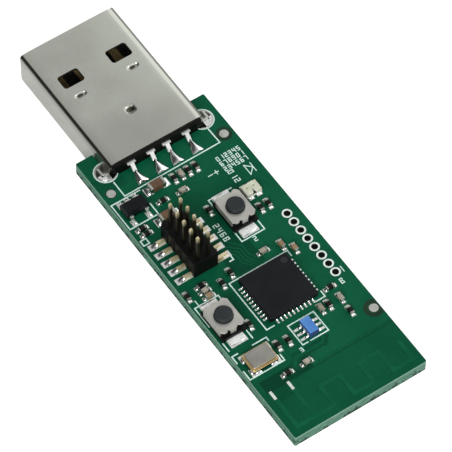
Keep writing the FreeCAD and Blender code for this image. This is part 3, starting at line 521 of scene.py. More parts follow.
def pin_finish():
    """Gold wire with painted light on the feet and at the tips, and painted shade down the posts where they
    stand close together.
    """
    material, tree, shader, _, parts, mottle = start_finish("pin gold", 0.8, 3.0)
    bright = two_tones(tree, mottle, (206, 192, 150), (230, 218, 182))
    # painted shade down the posts, and painted light on the feet and at the tips
    darkened = two_tones(tree, mottle, (30, 28, 18), (46, 43, 29))
    tip = add_ramp(tree, parts["Z"], PIN_HIGH - 1.1, PIN_HIGH - 0.1)
    foot = add_ramp(tree, parts["Z"], BOARD_TOP + 1.2, BOARD_TOP + 0.6)
    set_inputs(tree, shader, {
        "Base Color": add_mix(tree, add_math(tree, "MAXIMUM", tip, foot), darkened, bright),
        "Roughness": add_math(tree, "MULTIPLY_ADD", mottle["Tone"], 0.08, 0.34),
        "Metallic": 0.7,
    })
    add_bump(tree, shader, mottle["Height"], 0.02)
    return material


FINISH = {
    "board": board_finish(),
    "steel": steel_finish(),
    "insulator": finish_of("plug black", paint(8, 8, 8), paint(18, 18, 16), rough=0.45, specular=0.12),
    "solder": finish_of("bright solder", paint(228, 231, 231), paint(250, 251, 250), metallic=1.0, rough=0.15,
                        rough_spread=0.1, bump=0.2, cloud=1.5, grain=3.0),
    "tin": finish_of("tinned lead", paint(206, 208, 204), paint(238, 239, 234), metallic=1.0, rough=0.25,
                     rough_spread=0.14, bump=0.08, cloud=1.2),
    "end": finish_of("part end", paint(142, 148, 138), paint(200, 203, 192), metallic=1.0, rough=0.26,
                     rough_spread=0.14, bump=0.1, cloud=1.6),
    "pad": pad_finish(),
    "small_pad": finish_of("small pad", paint(108, 130, 114), paint(172, 186, 172), metallic=0.6, rough=0.3,
                           rough_spread=0.16, bump=0.12, cloud=1.6),
    "lead": finish_of("bright lead", paint(222, 226, 222), paint(248, 249, 246), metallic=0.3, rough=0.3,
                      rough_spread=0.1, bump=0.08, cloud=0.7),
    "ring": ring_finish(),
    "disc": finish_of("sighting disc", paint(168, 171, 164), paint(188, 190, 182), metallic=0.6, rough=0.4,
                      bump=0.1, cloud=1.4),
    "bare": finish_of("bare laminate", paint(22, 46, 32), paint(36, 60, 44), rough=0.5, specular=0.06),
    "covered": finish_of("covered copper", paint(6, 76, 51), paint(12, 85, 58), rough=0.32, specular=0.06,
                         bump=0.06),
    "gap": finish_of("mask beside copper", paint(4, 65, 43), paint(8, 72, 49), rough=0.32, specular=0.06),
    "gold": pin_finish(),
    "contact": contact_finish(),
    "header": finish_of("header black", paint(4, 4, 4), paint(12, 11, 11), rough=0.5, specular=0.12),
    "chip": finish_of("chip black", paint(8, 11, 14), paint(17, 20, 24), rough=0.5, grain=18.0, bump=0.2,
                      specular=0.17),
    "mark": finish_of("chip dot", paint(26, 30, 34), paint(36, 40, 44), rough=0.3, specular=0.3),
    "regulator": finish_of("regulator black", paint(8, 10, 12), paint(18, 20, 23), rough=0.45, grain=14.0,
                           specular=0.15),
    "blue": finish_of("blue ceramic", paint(66, 116, 180), paint(84, 134, 198), rough=0.35, grain=10.0,
                      specular=0.2, sides=(paint(26, 48, 92), paint(44, 74, 128))),
    "crystal": crystal_finish(),
    "seal": finish_of("seal gold", *GOLD, metallic=0.8, rough=0.28,
                      rough_spread=0.06, bump=0.03),
    "lid": finish_of("crystal lid", paint(150, 149, 142), paint(166, 165, 157), metallic=0.85, rough=0.3,
                     rough_spread=0.06, bump=0.03, cloud=0.8, scratches=0.2, sides=GOLD),
    "lamp": finish_of("lamp base", paint(206, 208, 194), paint(226, 227, 214), rough=0.45, specular=0.2),
    "lens": finish_of("lamp lens", paint(178, 184, 162), paint(210, 213, 194), rough=0.22, cloud=1.2,
                      specular=0.25),
    "die": finish_of("lamp die", paint(120, 112, 84), paint(150, 142, 110), rough=0.35),
    "resistor": finish_of("resistor black", paint(6, 6, 8), paint(20, 19, 21), rough=0.35, specular=0.2),
    "tan": finish_of("tan ceramic", paint(128, 104, 78), paint(154, 130, 102), rough=0.45, specular=0.3),
    "pale": finish_of("pale ceramic", paint(132, 126, 112), paint(164, 158, 144), rough=0.45, specular=0.3),
    "brown": finish_of("brown ceramic", paint(78, 58, 40), paint(108, 84, 62), rough=0.4, specular=0.3),
    "cover": finish_of("switch steel", paint(174, 173, 166), paint(192, 191, 184), metallic=0.65, rough=0.36,
                       rough_spread=0.06, bump=0.04, cloud=0.6, scratches=0.12),
    "base": finish_of("switch black", paint(4, 4, 5), paint(12, 12, 13), rough=0.5, specular=0.15),
    "button": finish_of("button slate", paint(34, 39, 41), paint(43, 48, 50), rough=0.5, grain=14.0,
                        bump=0.15, specular=0.2),
    "ink": finish_of("pale print", paint(182, 214, 206), paint(212, 232, 226), rough=0.6, cloud=1.6,
                     grain=9.0, specular=0.2),
}


# Pieces

def settle(piece):
    """Turns a piece's modifiers into its mesh."""
    graph = bpy.context.evaluated_depsgraph_get()
    mesh = bpy.data.meshes.new_from_object(piece.evaluated_get(graph), depsgraph=graph)
    piece.modifiers.clear()
    piece.data = mesh


def store(name, shape):
    """A bmesh becomes an object in the scene, still in millimetres."""
    mesh = bpy.data.meshes.new(name)
    shape.to_mesh(mesh)
    shape.free()
    piece = bpy.data.objects.new(name, mesh)
    bpy.context.scene.collection.objects.link(piece)
    return piece


def finish_piece(piece, finish, body="stick", replaces=(), smooth=40.0):
    """The last steps of every piece: normals, metres, finish, body, and the hiding of the parts it stands for.
    """
    mesh = piece.data
    mesh.shade_smooth()
    mesh.set_sharp_from_angle(angle=math.radians(smooth))
    weigh = piece.modifiers.new("flat faces stay flat", "WEIGHTED_NORMAL")
    weigh.keep_sharp = True
    settle(piece)
    piece.data.transform(Matrix.Scale(MM, 4))
    piece.data.materials.clear()
    piece.data.materials.append(FINISH[finish])
    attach(piece, body)
    if replaces:
        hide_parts(*replaces)
    return piece


def node_shape(node):
    """A CAD node's mesh in millimetres, its doubles merged and its flat faces whole."""
    shape = bmesh.new()
    shape.from_mesh(NODES[node].data)
    shape.transform(Matrix.Scale(1.0 / MM, 4))
    bmesh.ops.remove_doubles(shape, verts=shape.verts, dist=0.0005)
    bmesh.ops.dissolve_limit(shape, angle_limit=math.radians(1.0), verts=shape.verts, edges=shape.edges)
    return shape


def round_edges(shape, width, steps=2, least=30.0):
    """Rounds every edge that turns by more than a few degrees."""
    turning = [e for e in shape.edges if e.is_manifold and e.calc_face_angle() > math.radians(least)]
    bmesh.ops.bevel(
        shape, geom=turning, offset=width, segments=steps, profile=0.5, affect="EDGES", clamp_overlap=True)


def dress(node, finish, width=0.03, body="stick", steps=2, smooth=40.0):
    """A CAD node with its edges rounded and its finish on."""
    shape = node_shape(node)
    round_edges(shape, width, steps)
    return finish_piece(store(node + "_finish", shape), finish, body, (node,), smooth)


def islands(node):
    """The lowest and highest corners of each separate solid of a node, and its corner points."""
    shape = bmesh.new()
    shape.from_mesh(NODES[node].data)
    bmesh.ops.remove_doubles(shape, verts=shape.verts, dist=0.0005 * MM)
    left = set(shape.verts)
    found = []
    while left:
        start = left.pop()
        group = [start]
        reach = [start]
        while reach:
            for edge in reach.pop().link_edges:
                for point in edge.verts:
                    if point in left:
                        left.discard(point)
                        group.append(point)
                        reach.append(point)
        places = [point.co / MM for point in group]
        low = Vector([min(p[k] for p in places) for k in range(3)])
        high = Vector([max(p[k] for p in places) for k in range(3)])
        found.append((low, high, places))
    shape.free()
    found.sort(key=lambda item: (round(item[0].x, 3), round(item[0].y, 3), round(item[0].z, 3)))
    return found


# Geometry node trees for what repeats

def new_tree(name, inputs):
    """An empty geometry tree: inputs as (name, kind, default)."""
    tree = bpy.data.node_groups.new(name, "GeometryNodeTree")
    tree.interface.new_socket("Geometry", in_out="INPUT", socket_type="NodeSocketGeometry")
    for label, kind, value in inputs:
        socket = tree.interface.new_socket(label, in_out="INPUT", socket_type=kind)
        if value is not None:
            socket.default_value = value
    tree.interface.new_socket("Geometry", in_out="OUTPUT", socket_type="NodeSocketGeometry")
    return tree, tree.nodes.new("NodeGroupInput").outputs, tree.nodes.new("NodeGroupOutput").inputs


def close_tree(tree, geometry, finish, out):
    """Every tree ends in real faces with their finish."""
    real = add_node(tree, "GeometryNodeRealizeInstances", {0: geometry}).outputs[0]
    painted = add_node(tree, "GeometryNodeSetMaterial", {"Geometry": real, "Material": finish}).outputs[0]
    tree.links.new(painted, out[0])


def read_field(tree, name, kind="FLOAT"):
    """A named value stored on the points."""
    node = add_node(tree, "GeometryNodeInputNamedAttribute", {"Name": name}, data_type=kind)
    return next(socket for socket in node.outputs if socket.enabled)


def ribbon_tree():
    """Flat strips along the edges that are given, upright side up."""
    inputs = [
        ("Width", "NodeSocketFloat", 0.17),
        ("Thickness", "NodeSocketFloat", 0.02),
        ("Finish", "NodeSocketMaterial", None),
    ]
    tree, given, out = new_tree("flat strips", inputs)
    curve = add_node(tree, "GeometryNodeMeshToCurve", {0: given["Geometry"]}).outputs[0]
    level = add_node(tree, "GeometryNodeSetCurveNormal", {0: curve}, mode="Z_UP").outputs[0]
    section = add_node(
        tree, "GeometryNodeCurvePrimitiveQuadrilateral",
        {"Width": given["Width"], "Height": given["Thickness"]}).outputs[0]
    strip = add_node(
        tree, "GeometryNodeCurveToMesh",
        {"Curve": level, "Profile Curve": section, "Fill Caps": True}).outputs[0]
    close_tree(tree, strip, given["Finish"], out)
    return tree


def pin_tree():
    """Square wire along each path, bent round its corners and thinner where its points say so."""
    inputs = [
        ("Thickness", "NodeSocketFloat", PIN_THICK),
        ("Edge", "NodeSocketFloat", 0.05),
        ("Finish", "NodeSocketMaterial", None),
    ]
    tree, given, out = new_tree("bent pins", inputs)
    curve = add_node(tree, "GeometryNodeMeshToCurve", {0: given["Geometry"]}).outputs[0]
    slim = add_node(
        tree, "GeometryNodeSetCurveRadius", {"Curve": curve, "Radius": read_field(tree, "slim")}).outputs[0]
    bent = add_node(
        tree, "GeometryNodeFilletCurve",
        {"Curve": slim, "Count": 5, "Radius": read_field(tree, "bend"), "Limit Radius": True},
        mode="POLY").outputs[0]
    level = add_node(tree, "GeometryNodeSetCurveNormal", {0: bent}, mode="MINIMUM_TWIST").outputs[0]
    square = add_node(
        tree, "GeometryNodeCurvePrimitiveQuadrilateral",
        {"Width": given["Thickness"], "Height": given["Thickness"]}).outputs[0]
    rounded = add_node(
        tree, "GeometryNodeFilletCurve",
        {"Curve": square, "Count": 2, "Radius": given["Edge"], "Limit Radius": True}, mode="POLY").outputs[0]
    wire = add_node(
        tree, "GeometryNodeCurveToMesh",
        {"Curve": level, "Profile Curve": rounded, "Fill Caps": True,
         "Scale": read_field(tree, "slim")}).outputs[0]
    close_tree(tree, wire, given["Finish"], out)
    return tree


def drop_tree():
    """A drop of solder on each point: high against its part, hollow down to the pad's far edge."""
    inputs = [
        ("Steps", "NodeSocketInt", 8),
        ("Fall", "NodeSocketFloat", 1.7),
        ("Arch", "NodeSocketFloat", 2.6),
        ("Finish", "NodeSocketMaterial", None),
    ]
    tree, given, out = new_tree("solder drops", inputs)
    brick = add_node(
        tree, "GeometryNodeMeshCube",
        {"Size": (1.0, 1.0, 1.0), "Vertices X": given["Steps"], "Vertices Y": given["Steps"], "Vertices Z": 2})
    place = add_node(tree, "GeometryNodeInputPosition").outputs[0]
    parts = add_node(tree, "ShaderNodeSeparateXYZ", {0: place}).outputs
    reach = add_math(tree, "ADD", parts["X"], 0.5)
    left = add_math(tree, "MAXIMUM", add_math(tree, "SUBTRACT", 1.0, reach), 0.0)
    slope = add_math(tree, "POWER", left, given["Fall"])
    aside = add_math(tree, "ABSOLUTE", add_math(tree, "MULTIPLY", parts["Y"], 2.0))
    wide = add_math(tree, "MINIMUM", aside, 1.0)
    arch = add_math(tree, "SUBTRACT", 1.0, add_math(tree, "POWER", wide, given["Arch"]))
    high = add_math(tree, "MULTIPLY", slope, arch)
    upper = add_math(tree, "GREATER_THAN", parts["Z"], 0.0)
    rise = add_math(tree, "MULTIPLY", add_math(tree, "MAXIMUM", high, 0.04), upper)
    moved = add_node(tree, "ShaderNodeCombineXYZ", {0: reach, 1: parts["Y"], 2: rise}).outputs[0]
    drop = add_node(
        tree, "GeometryNodeSetPosition", {"Geometry": brick.outputs[0], "Position": moved}).outputs[0]
    turn = add_node(tree, "ShaderNodeCombineXYZ", {2: read_field(tree, "turn")}).outputs[0]
    drops = add_node(
        tree, "GeometryNodeInstanceOnPoints",
        {"Points": given["Geometry"], "Instance": drop, "Rotation": turn,
         "Scale": read_field(tree, "spread", "FLOAT_VECTOR")}).outputs[0]
    close_tree(tree, drops, given["Finish"], out)
    return tree


def eyelet_tree():
    """A plated hole on each point: a tube with a soft-edged flat ring above and below the board."""
    inputs = [
        ("Hole", "NodeSocketFloat", HOLE_R),
        ("Wall", "NodeSocketFloat", HOLE_WALL),
        ("Ring", "NodeSocketFloat", HOLE_RING_R),
        ("Ring Thickness", "NodeSocketFloat", 0.05),
        ("Length", "NodeSocketFloat", HOLE_LENGTH),
        ("Sides", "NodeSocketInt", 36),
        ("Finish", "NodeSocketMaterial", None),
    ]
    tree, given, out = new_tree("plated holes", inputs)

    def hoop(inner, outer, thickness, height):
        """A ring of oblong section between two radii, at a height."""
        width = add_math(tree, "SUBTRACT", outer, inner)
        middle = add_math(tree, "MULTIPLY_ADD", width, 0.5, inner)
        values = {"Resolution": given["Sides"], "Radius": middle}
        path = add_node(tree, "GeometryNodeCurvePrimitiveCircle", values).outputs[0]
        oblong = add_node(
            tree, "GeometryNodeCurvePrimitiveQuadrilateral", {"Width": width, "Height": thickness}).outputs[0]
        soft = add_node(
            tree, "GeometryNodeFilletCurve",
            {"Curve": oblong, "Count": 3, "Radius": 0.018, "Limit Radius": True}, mode="POLY").outputs[0]
        solid = add_node(tree, "GeometryNodeCurveToMesh", {"Curve": path, "Profile Curve": soft}).outputs[0]
        lift = add_node(tree, "ShaderNodeCombineXYZ", {2: height}).outputs[0]
        return add_node(tree, "GeometryNodeTransform", {"Geometry": solid, "Translation": lift}).outputs[0]

    outer = add_math(tree, "ADD", given["Hole"], given["Wall"])
    half = add_math(tree, "SUBTRACT", given["Length"], given["Ring Thickness"])
    high = add_math(tree, "MULTIPLY", half, 0.5)
    low = add_math(tree, "MULTIPLY", high, -1.0)
    join = tree.nodes.new("GeometryNodeJoinGeometry")
    for part in (
        hoop(given["Hole"], outer, given["Length"], 0.0),
        hoop(given["Hole"], given["Ring"], given["Ring Thickness"], high),
        hoop(given["Hole"], given["Ring"], given["Ring Thickness"], low),
    ):
        tree.links.new(part, join.inputs[0])
    rings = add_node(
        tree, "GeometryNodeInstanceOnPoints",
        {"Points": given["Geometry"], "Instance": join.outputs[0]}).outputs[0]
    close_tree(tree, rings, given["Finish"], out)
    return tree


def grow(name, points, edges, fields, tree, values, finish):
    """Runs a tree on points and edges that carry named values, and keeps the plain mesh."""
    mesh = bpy.data.meshes.new(name)
    mesh.from_pydata([tuple(point) for point in points], edges, [])
    for label, kind, numbers in fields:
        field = mesh.attributes.new(label, kind, "POINT")
        for item, number in zip(field.data, numbers):
            if kind == "FLOAT":
                item.value = number
            else:
                item.vector = number
    piece = bpy.data.objects.new(name, mesh)
    bpy.context.scene.collection.objects.link(piece)
    modifier = piece.modifiers.new(tree.name, "NODES")
    modifier.node_group = tree
    sockets = {item.name: item.identifier for item in tree.interface.items_tree if item.in_out == "INPUT"}
    for label, value in dict(values, Finish=FINISH[finish]).items():
        modifier[sockets[label]] = value
    settle(piece)
    for label, _, _ in fields:
        if label in piece.data.attributes:
            piece.data.attributes.remove(piece.data.attributes[label])
    return piece


STRIPS = ribbon_tree()
PINS = pin_tree()
DROPS = drop_tree()
EYELETS = eyelet_tree()


# Plug

def spaced(low, high, step):
    """Even stops from low to high, no further apart than a step."""
    count = max(1, math.ceil((high - low) / step - 1e-6))
    return [low + (high - low) * k / count for k in range(count + 1)]


def merged(firm, *groups):
    """Sorted stops: the firm ones stay, and others come in where they aren't too near."""
    kept = sorted(firm)
    for group in groups:
        for value in group:
            if all(abs(value - other) > 0.028 for other in kept):
                kept.append(value)
    return sorted(kept)


def window_stops(middle, size):
    """Stops at a window's sides, closer together in its corners."""
    half = size / 2.0
    near = half - WINDOW_CORNER
    stops = spaced(middle - half, middle - near, 0.09) + spaced(middle - near, middle + near, 0.3)[1:-1]
    return stops + spaced(middle + near, middle + half, 0.09)


def in_window(x, y):
    """Whether a place in the flat of the sheet falls in a window."""
    dx = max(0.0, abs(abs(x) - WINDOW_X) - (WINDOW_WIDTH / 2.0 - WINDOW_CORNER))
    dy = max(0.0, abs(y - WINDOW_Y) - (WINDOW_LENGTH / 2.0 - WINDOW_CORNER))
    return math.hypot(dx, dy) < WINDOW_CORNER


def onto_window(x, y):
    """The nearest place on a window's outline, for a place beside one of its corners."""
    side = math.copysign(1.0, x)
    cx = abs(x) - WINDOW_X
    cy = y - WINDOW_Y
    ix = WINDOW_WIDTH / 2.0 - WINDOW_CORNER
    iy = WINDOW_LENGTH / 2.0 - WINDOW_CORNER
    dx = abs(cx) - ix
    dy = abs(cy) - iy
    if dx <= 0.0 or dy <= 0.0:
        return x, y
    scale = WINDOW_CORNER / math.hypot(dx, dy)
    across = WINDOW_X + math.copysign(ix + dx * scale, cx)
    along = WINDOW_Y + math.copysign(iy + dy * scale, cy)
    return side * across, along


def smooth_step(value):
    """0 to 1, level at both ends."""
    value = min(1.0, max(0.0, value))
    return value * value * (3.0 - 2.0 * value)


def arch_drop(x):
    """How far the roof falls gently towards its two bends."""
    reach = PLUG_WIDTH / 2.0 - BEND - ARCH_FROM
    return ARCH_DROP * (min(1.0, max(0.0, abs(x) - ARCH_FROM) / reach)) ** 2


def bowl(away):
    """A round hollow's depth, 1 in the middle, with a soft rim at a distance of 1."""
    rest = 1.0 - away * away
    return 0.5 * (rest + math.sqrt(rest * rest + 0.02)) if away < 1.6 else 0.0


def press_depth(x, y):
    """How far the two dents and the middle dimple push the roof in."""
    radius = DENT_WIDTH / 2.0
    run = max(0.0, abs(abs(x) - DENT_X) - (DENT_LENGTH / 2.0 - radius))
    dent = bowl(math.hypot(run, y - DENT_Y) / radius)
    dimple = bowl((abs(x) ** 3 + abs(y - DIMPLE_Y) ** 3) ** (1.0 / 3.0) / DIMPLE_R)
    return DENT_DEPTH * dent + DIMPLE_DEPTH * dimple


def plug_section():
    """The sheet's outer outline, seam to seam: places in X and height, and the flat each belongs to."""
    half = PLUG_WIDTH / 2.0
    flat = half - BEND
    low = PLUG_LOW.z
    high = PLUG_HIGH.z
    windows = window_stops(-WINDOW_X, WINDOW_WIDTH) + window_stops(WINDOW_X, WINDOW_WIDTH)
    top_stops = merged(
        windows + [-flat, flat],
        spaced(-DENT_X - 0.75, -DENT_X + 0.75, 0.06), spaced(DENT_X - 0.75, DENT_X + 0.75, 0.06),
        spaced(-DIMPLE_R * 1.2, DIMPLE_R * 1.2, 0.06), spaced(ARCH_FROM, flat, 0.12),
        spaced(-flat, -ARCH_FROM, 0.12), spaced(-flat, flat, 0.45))
    low_stops = merged(
        window_stops(WINDOW_X, WINDOW_WIDTH) + [SEAM / 2.0, flat], spaced(SEAM / 2.0, flat, 0.5))
    bend = [k * math.pi / 2.0 / BEND_STEPS for k in range(1, BEND_STEPS)]
    walk = [(x, low, "floor") for x in low_stops]
    walk += [(flat + BEND * math.sin(a), low + BEND - BEND * math.cos(a), "bend") for a in bend]
    walk += [(half, z, "wall") for z in spaced(low + BEND, high - BEND, 0.6)]
    walk += [(flat + BEND * math.cos(a), high - BEND + BEND * math.sin(a), "bend") for a in bend]
    walk += [(x, high, "roof") for x in reversed(top_stops)]
    walk += [(-flat - BEND * math.sin(a), high - BEND + BEND * math.cos(a), "bend") for a in bend]
    walk += [(-half, z, "wall") for z in reversed(spaced(low + BEND, high - BEND, 0.6))]
    walk += [(-flat - BEND * math.cos(a), low + BEND - BEND * math.sin(a), "bend") for a in bend]
    walk += [(-x, low, "floor") for x in reversed(low_stops)]
    return walk


def add_leg(shape, side):
    """A leg of the same sheet, bent out behind the wall and forward, down through its hole."""
    half = SHEET / 2.0
    tail = PLUG_TAIL_BACK - half
    outer = [(PLUG_WIDTH / 2.0 - SHEET, tail + half)]
    inner = [(PLUG_WIDTH / 2.0 - SHEET, tail - half)]
    knee_x = LEG_X - 0.25
    knee_back = tail - 0.25
    for step in range(7):
        angle = math.pi / 2.0 * (1.0 - step / 6.0)
        outer.append((knee_x + 0.4 * math.cos(angle), knee_back + 0.4 * math.sin(angle)))
        inner.append((knee_x + 0.1 * math.cos(angle), knee_back + 0.1 * math.sin(angle)))
    outer.append((LEG_X + half, LEG_FRONT))
    inner.append((LEG_X - half, LEG_FRONT))
    outline = outer + list(reversed(inner))
    low = [shape.verts.new((side * x, y_at(back), LEG_LOW)) for x, back in outline]
    high = [shape.verts.new((side * x, y_at(back), LEG_HIGH)) for x, back in outline]
    count = len(outline)
    for k in range(count):
        n = (k + 1) % count
        shape.faces.new((low[k], low[n], high[n], high[k]))
    for k in range(len(outer) - 1):
        m = count - 1 - k
        shape.faces.new((high[k], high[k + 1], high[m - 1], high[m]))
        shape.faces.new((low[m], low[m - 1], low[k + 1], low[k]))


def plug_housing():
    """The folded sheet with its windows, dents and dimple."""
    walk = plug_section()
    runs = merged(
        window_stops(WINDOW_Y, WINDOW_LENGTH) + [PLUG_LOW.y, MOUTH_Y],
        spaced(DENT_Y - 0.42, DENT_Y + 0.42, 0.05),
        spaced(DIMPLE_Y - DIMPLE_R * 1.2, DIMPLE_Y + DIMPLE_R * 1.2, 0.06),
        spaced(PLUG_LOW.y, MOUTH_Y, 0.9))
    shape = bmesh.new()
    grid = []
    bend_foot = PLUG_HIGH.z - BEND
    for x, z, part in walk:
        row = []
        lower = arch_drop(x) * min(1.0, max(0.0, z - bend_foot) / BEND)
        for y in runs:
            drop = press_depth(x, y) if part == "roof" else 0.0
            row.append(shape.verts.new((x, y, z - lower - drop)))
        grid.append(row)
    kept = []
    gone = set()
    for i in range(len(walk) - 1):
        flat = walk[i][2] in ("roof", "floor") and walk[i + 1][2] == walk[i][2]
        for j in range(len(runs) - 1):
            x = (walk[i][0] + walk[i + 1][0]) / 2.0
            y = (runs[j] + runs[j + 1]) / 2.0
            corners = (grid[i][j], grid[i][j + 1], grid[i + 1][j + 1], grid[i + 1][j])
            if flat and in_window(x, y):
                gone.update(corners)
            else:
                kept.append(corners)
    for corners in kept:
        for point in corners:
            if point in gone:
                point.co.x, point.co.y = onto_window(point.co.x, point.co.y)
        shape.faces.new(corners)
    bmesh.ops.delete(shape, geom=[v for v in shape.verts if not v.link_faces], context="VERTS")
    bmesh.ops.dissolve_degenerate(shape, dist=0.002, edges=shape.edges)
    bmesh.ops.recalc_face_normals(shape, faces=shape.faces)
    roof = max(shape.faces, key=lambda face: face.calc_center_median().z)
    if roof.normal.z < 0.0:
        bmesh.ops.reverse_faces(shape, faces=shape.faces)
    piece = store("plug_housing", shape)
    wall = piece.modifiers.new("sheet", "SOLIDIFY")
    wall.thickness = SHEET
    wall.offset = -1.0
    wall.use_even_offset = True
    edge = piece.modifiers.new("worn edges", "BEVEL")
    edge.width = 0.06
    edge.segments = 2
    edge.limit_method = "ANGLE"
    edge.angle_limit = math.radians(50.0)
    settle(piece)
    legs = bmesh.new()
    for side in SIDES:
        add_leg(legs, side)
    bmesh.ops.recalc_face_normals(legs, faces=legs.faces)
    round_edges(legs, 0.05)
    legs.from_mesh(piece.data)
    legs.to_mesh(piece.data)
    legs.free()
    return finish_piece(piece, "steel", replaces=("plug_shell",), smooth=50.0)


def contact_mounds():
    """Solder that climbs each contact's foot and spreads over its pad, which widens to the far end."""
    shape = bmesh.new()
    rows = 22
    columns = 16
    for x in CONTACTS:
        top = []
        base = []
        for i in range(rows + 1):
            t = i / rows
            back = MOUND_NEAR + (MOUND_FAR - MOUND_NEAR) * t
            ends = smooth_step(t / MOUND_CLIMB) * smooth_step((1.0 - t) / MOUND_END)
            wave = 1.0 + MOUND_WAVE * math.sin(6.0 * t + x)
            high = MOUND_RISE * ends * (1.0 - MOUND_SINK * t) * wave + MOUND_FILM
            wide = MOUND_SLIM + (MOUND_WIDE - MOUND_SLIM) * t ** 0.8
            upper = []
            lower = []
            for j in range(columns + 1):
                v = -1.0 + 2.0 * j / columns
                lean = v - MOUND_LEAN * math.sin(2.0 * x) * (1.0 - v * v)
                hollow = (1.0 - abs(lean)) ** 1.2 * MOUND_HOLLOW + (1.0 - v * v) * (1.0 - MOUND_HOLLOW)
                upper.append(shape.verts.new((x + wide * v, y_at(back), PAD_TOP + high * hollow)))
                lower.append(shape.verts.new((x + wide * v, y_at(back), BOARD_TOP - 0.02)))
            top.append(upper)
            base.append(lower)
        for i in range(rows):
            for j in range(columns):
                shape.faces.new((top[i][j], top[i + 1][j], top[i + 1][j + 1], top[i][j + 1]))
                shape.faces.new((base[i][j], base[i][j + 1], base[i + 1][j + 1], base[i + 1][j]))
            for j in (0, columns):
                shape.faces.new((top[i][j], base[i][j], base[i + 1][j], top[i + 1][j]))
        for j in range(columns):
            for i in (0, rows):
                shape.faces.new((top[i][j], base[i][j], base[i][j + 1], top[i][j + 1]))
    bmesh.ops.recalc_face_normals(shape, faces=shape.faces)
    return finish_piece(
        store("contact_mounds", shape), "solder", replaces=("contact_solder",), smooth=70.0)


# Solder, holes, pins and print from the trees

def facing(away):
    """The nearest of the four ways along the board, as a unit step and a turn."""
    if abs(away.x) > abs(away.y):
        side = math.copysign(1.0, away.x)
        return Vector((side, 0.0, 0.0)), (0.0 if side > 0 else math.pi)
    side = math.copysign(1.0, away.y)
    return Vector((0.0, side, 0.0)), side * math.pi / 2.0


def drop_beside(middle, size, away, inset, spread):
    """A drop that starts a little inside the side of a box which faces away."""
    step, turn = facing(away)
    half = abs(step.x) * size.x / 2.0 + abs(step.y) * size.y / 2.0
    start = Vector((middle.x, middle.y, PAD_TOP)) + step * (half - inset)
    return start, turn, spread


def part_drops():
    """Solder on every part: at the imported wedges, at both ends of each small part and on the chip's lands."""
    spots = []
    for low, high, places in islands("component_solder"):
        middle = (low + high) / 2.0
        size = high - low
        crest = [p - middle for p in places if p.z > high.z - 0.01]
        away = -sum(crest, Vector((0.0, 0.0, 0.0)))
        step, turn = facing(away)
        reach = abs(step.x) * size.x + abs(step.y) * size.y
        width = abs(step.y) * size.x + abs(step.x) * size.y
        start = Vector((middle.x, middle.y, low.z)) - step * (reach / 2.0 + 0.03)
        rise = size.z * (0.4 if abs(middle.x - RIGHT_FEET_X) < 0.7 and low.y > y_at(RIGHT_FEET_FAR) else 1.0)
        spots.append((start, turn, (reach + 0.05, width + 0.06, rise)))
    for kind in ("resistor", "tan_capacitor", "pale_capacitor"):
        cores = [(low + high) / 2.0 for low, high, _ in islands(kind + "_bodies")]
        for low, high, _ in islands(kind + "_ends"):
            middle = (low + high) / 2.0
            size = high - low
            away = middle - min(cores, key=lambda place: (place - middle).length)
            spots.append(drop_beside(middle, size, away, 0.03, (0.26, 0.4, size.z * 0.62)))
    low, high = box_of("radio_chip_body")
    chip = (low + high) / 2.0
    for low_land, high_land, _ in islands("radio_chip_leads"):
        middle = (low_land + high_land) / 2.0
        size = high_land - low_land
        spots.append(drop_beside(middle, size, middle - chip, 0.02, (0.44, 0.17, 0.2)))
    fields = [
        ("turn", "FLOAT", [turn for _, turn, _ in spots]),
        ("spread", "FLOAT_VECTOR", [spread for _, _, spread in spots]),
    ]
    piece = grow("part_solder", [start for start, _, _ in spots], [], fields, DROPS, {}, "solder")
    return finish_piece(piece, "solder", replaces=("component_solder",), smooth=60.0)


def board_piece():
    """The board with its corners drawn tighter, as it is cut."""
    shape = node_shape("circuit_board")
    scale = TIGHT_CORNER / BOARD_CORNER
    inner_x = BOARD_HIGH.x - BOARD_CORNER
    for point in shape.verts:
        side_x = math.copysign(1.0, point.co.x)
        end = EDGE_Y if point.co.y > 0.0 else BOARD_LOW.y
        side_y = math.copysign(1.0, point.co.y)
        inner_y = end - side_y * BOARD_CORNER
        dx = point.co.x - side_x * inner_x
        dy = point.co.y - inner_y
        if dx * side_x > -0.001 and dy * side_y > -0.001:
            point.co.x = side_x * (BOARD_HIGH.x - TIGHT_CORNER) + dx * scale
            point.co.y = end - side_y * TIGHT_CORNER + dy * scale
    round_edges(shape, 0.03)
    finish_piece(store("board", shape), "board", replaces=("circuit_board",))


def part_pads():
    """All the pads but the contacts' four, which their solder covers. Those of the small parts are duller."""
    large = node_shape("component_pads")
    small = node_shape("component_pads")
    covered = []
    little = []
    for low, high, _ in islands("component_pads"):
        middle = (low + high) / 2.0
        size = high - low
        if (MOUND_NEAR < EDGE_Y - middle.y < MOUND_FAR
                and min(abs(middle.x - x) for x in CONTACTS) < MOUND_WIDE):
            covered.append((low, high))
        elif max(size.x, size.y) < SMALL_PAD:
            little.append((low, high))

    def within(point, boxes):
        return any(
            low.x - 0.01 < point.co.x < high.x + 0.01 and low.y - 0.01 < point.co.y < high.y + 0.01
            for low, high in boxes)

    gone = [point for point in large.verts if within(point, covered + little)]
    bmesh.ops.delete(large, geom=gone, context="VERTS")
    gone = [point for point in small.verts if not within(point, little)]
    bmesh.ops.delete(small, geom=gone, context="VERTS")
    for shape, name, finish in ((large, "part_pads", "pad"), (small, "small_pads", "small_pad")):
        round_edges(shape, 0.02)
        finish_piece(store(name, shape), finish, replaces=("component_pads",))


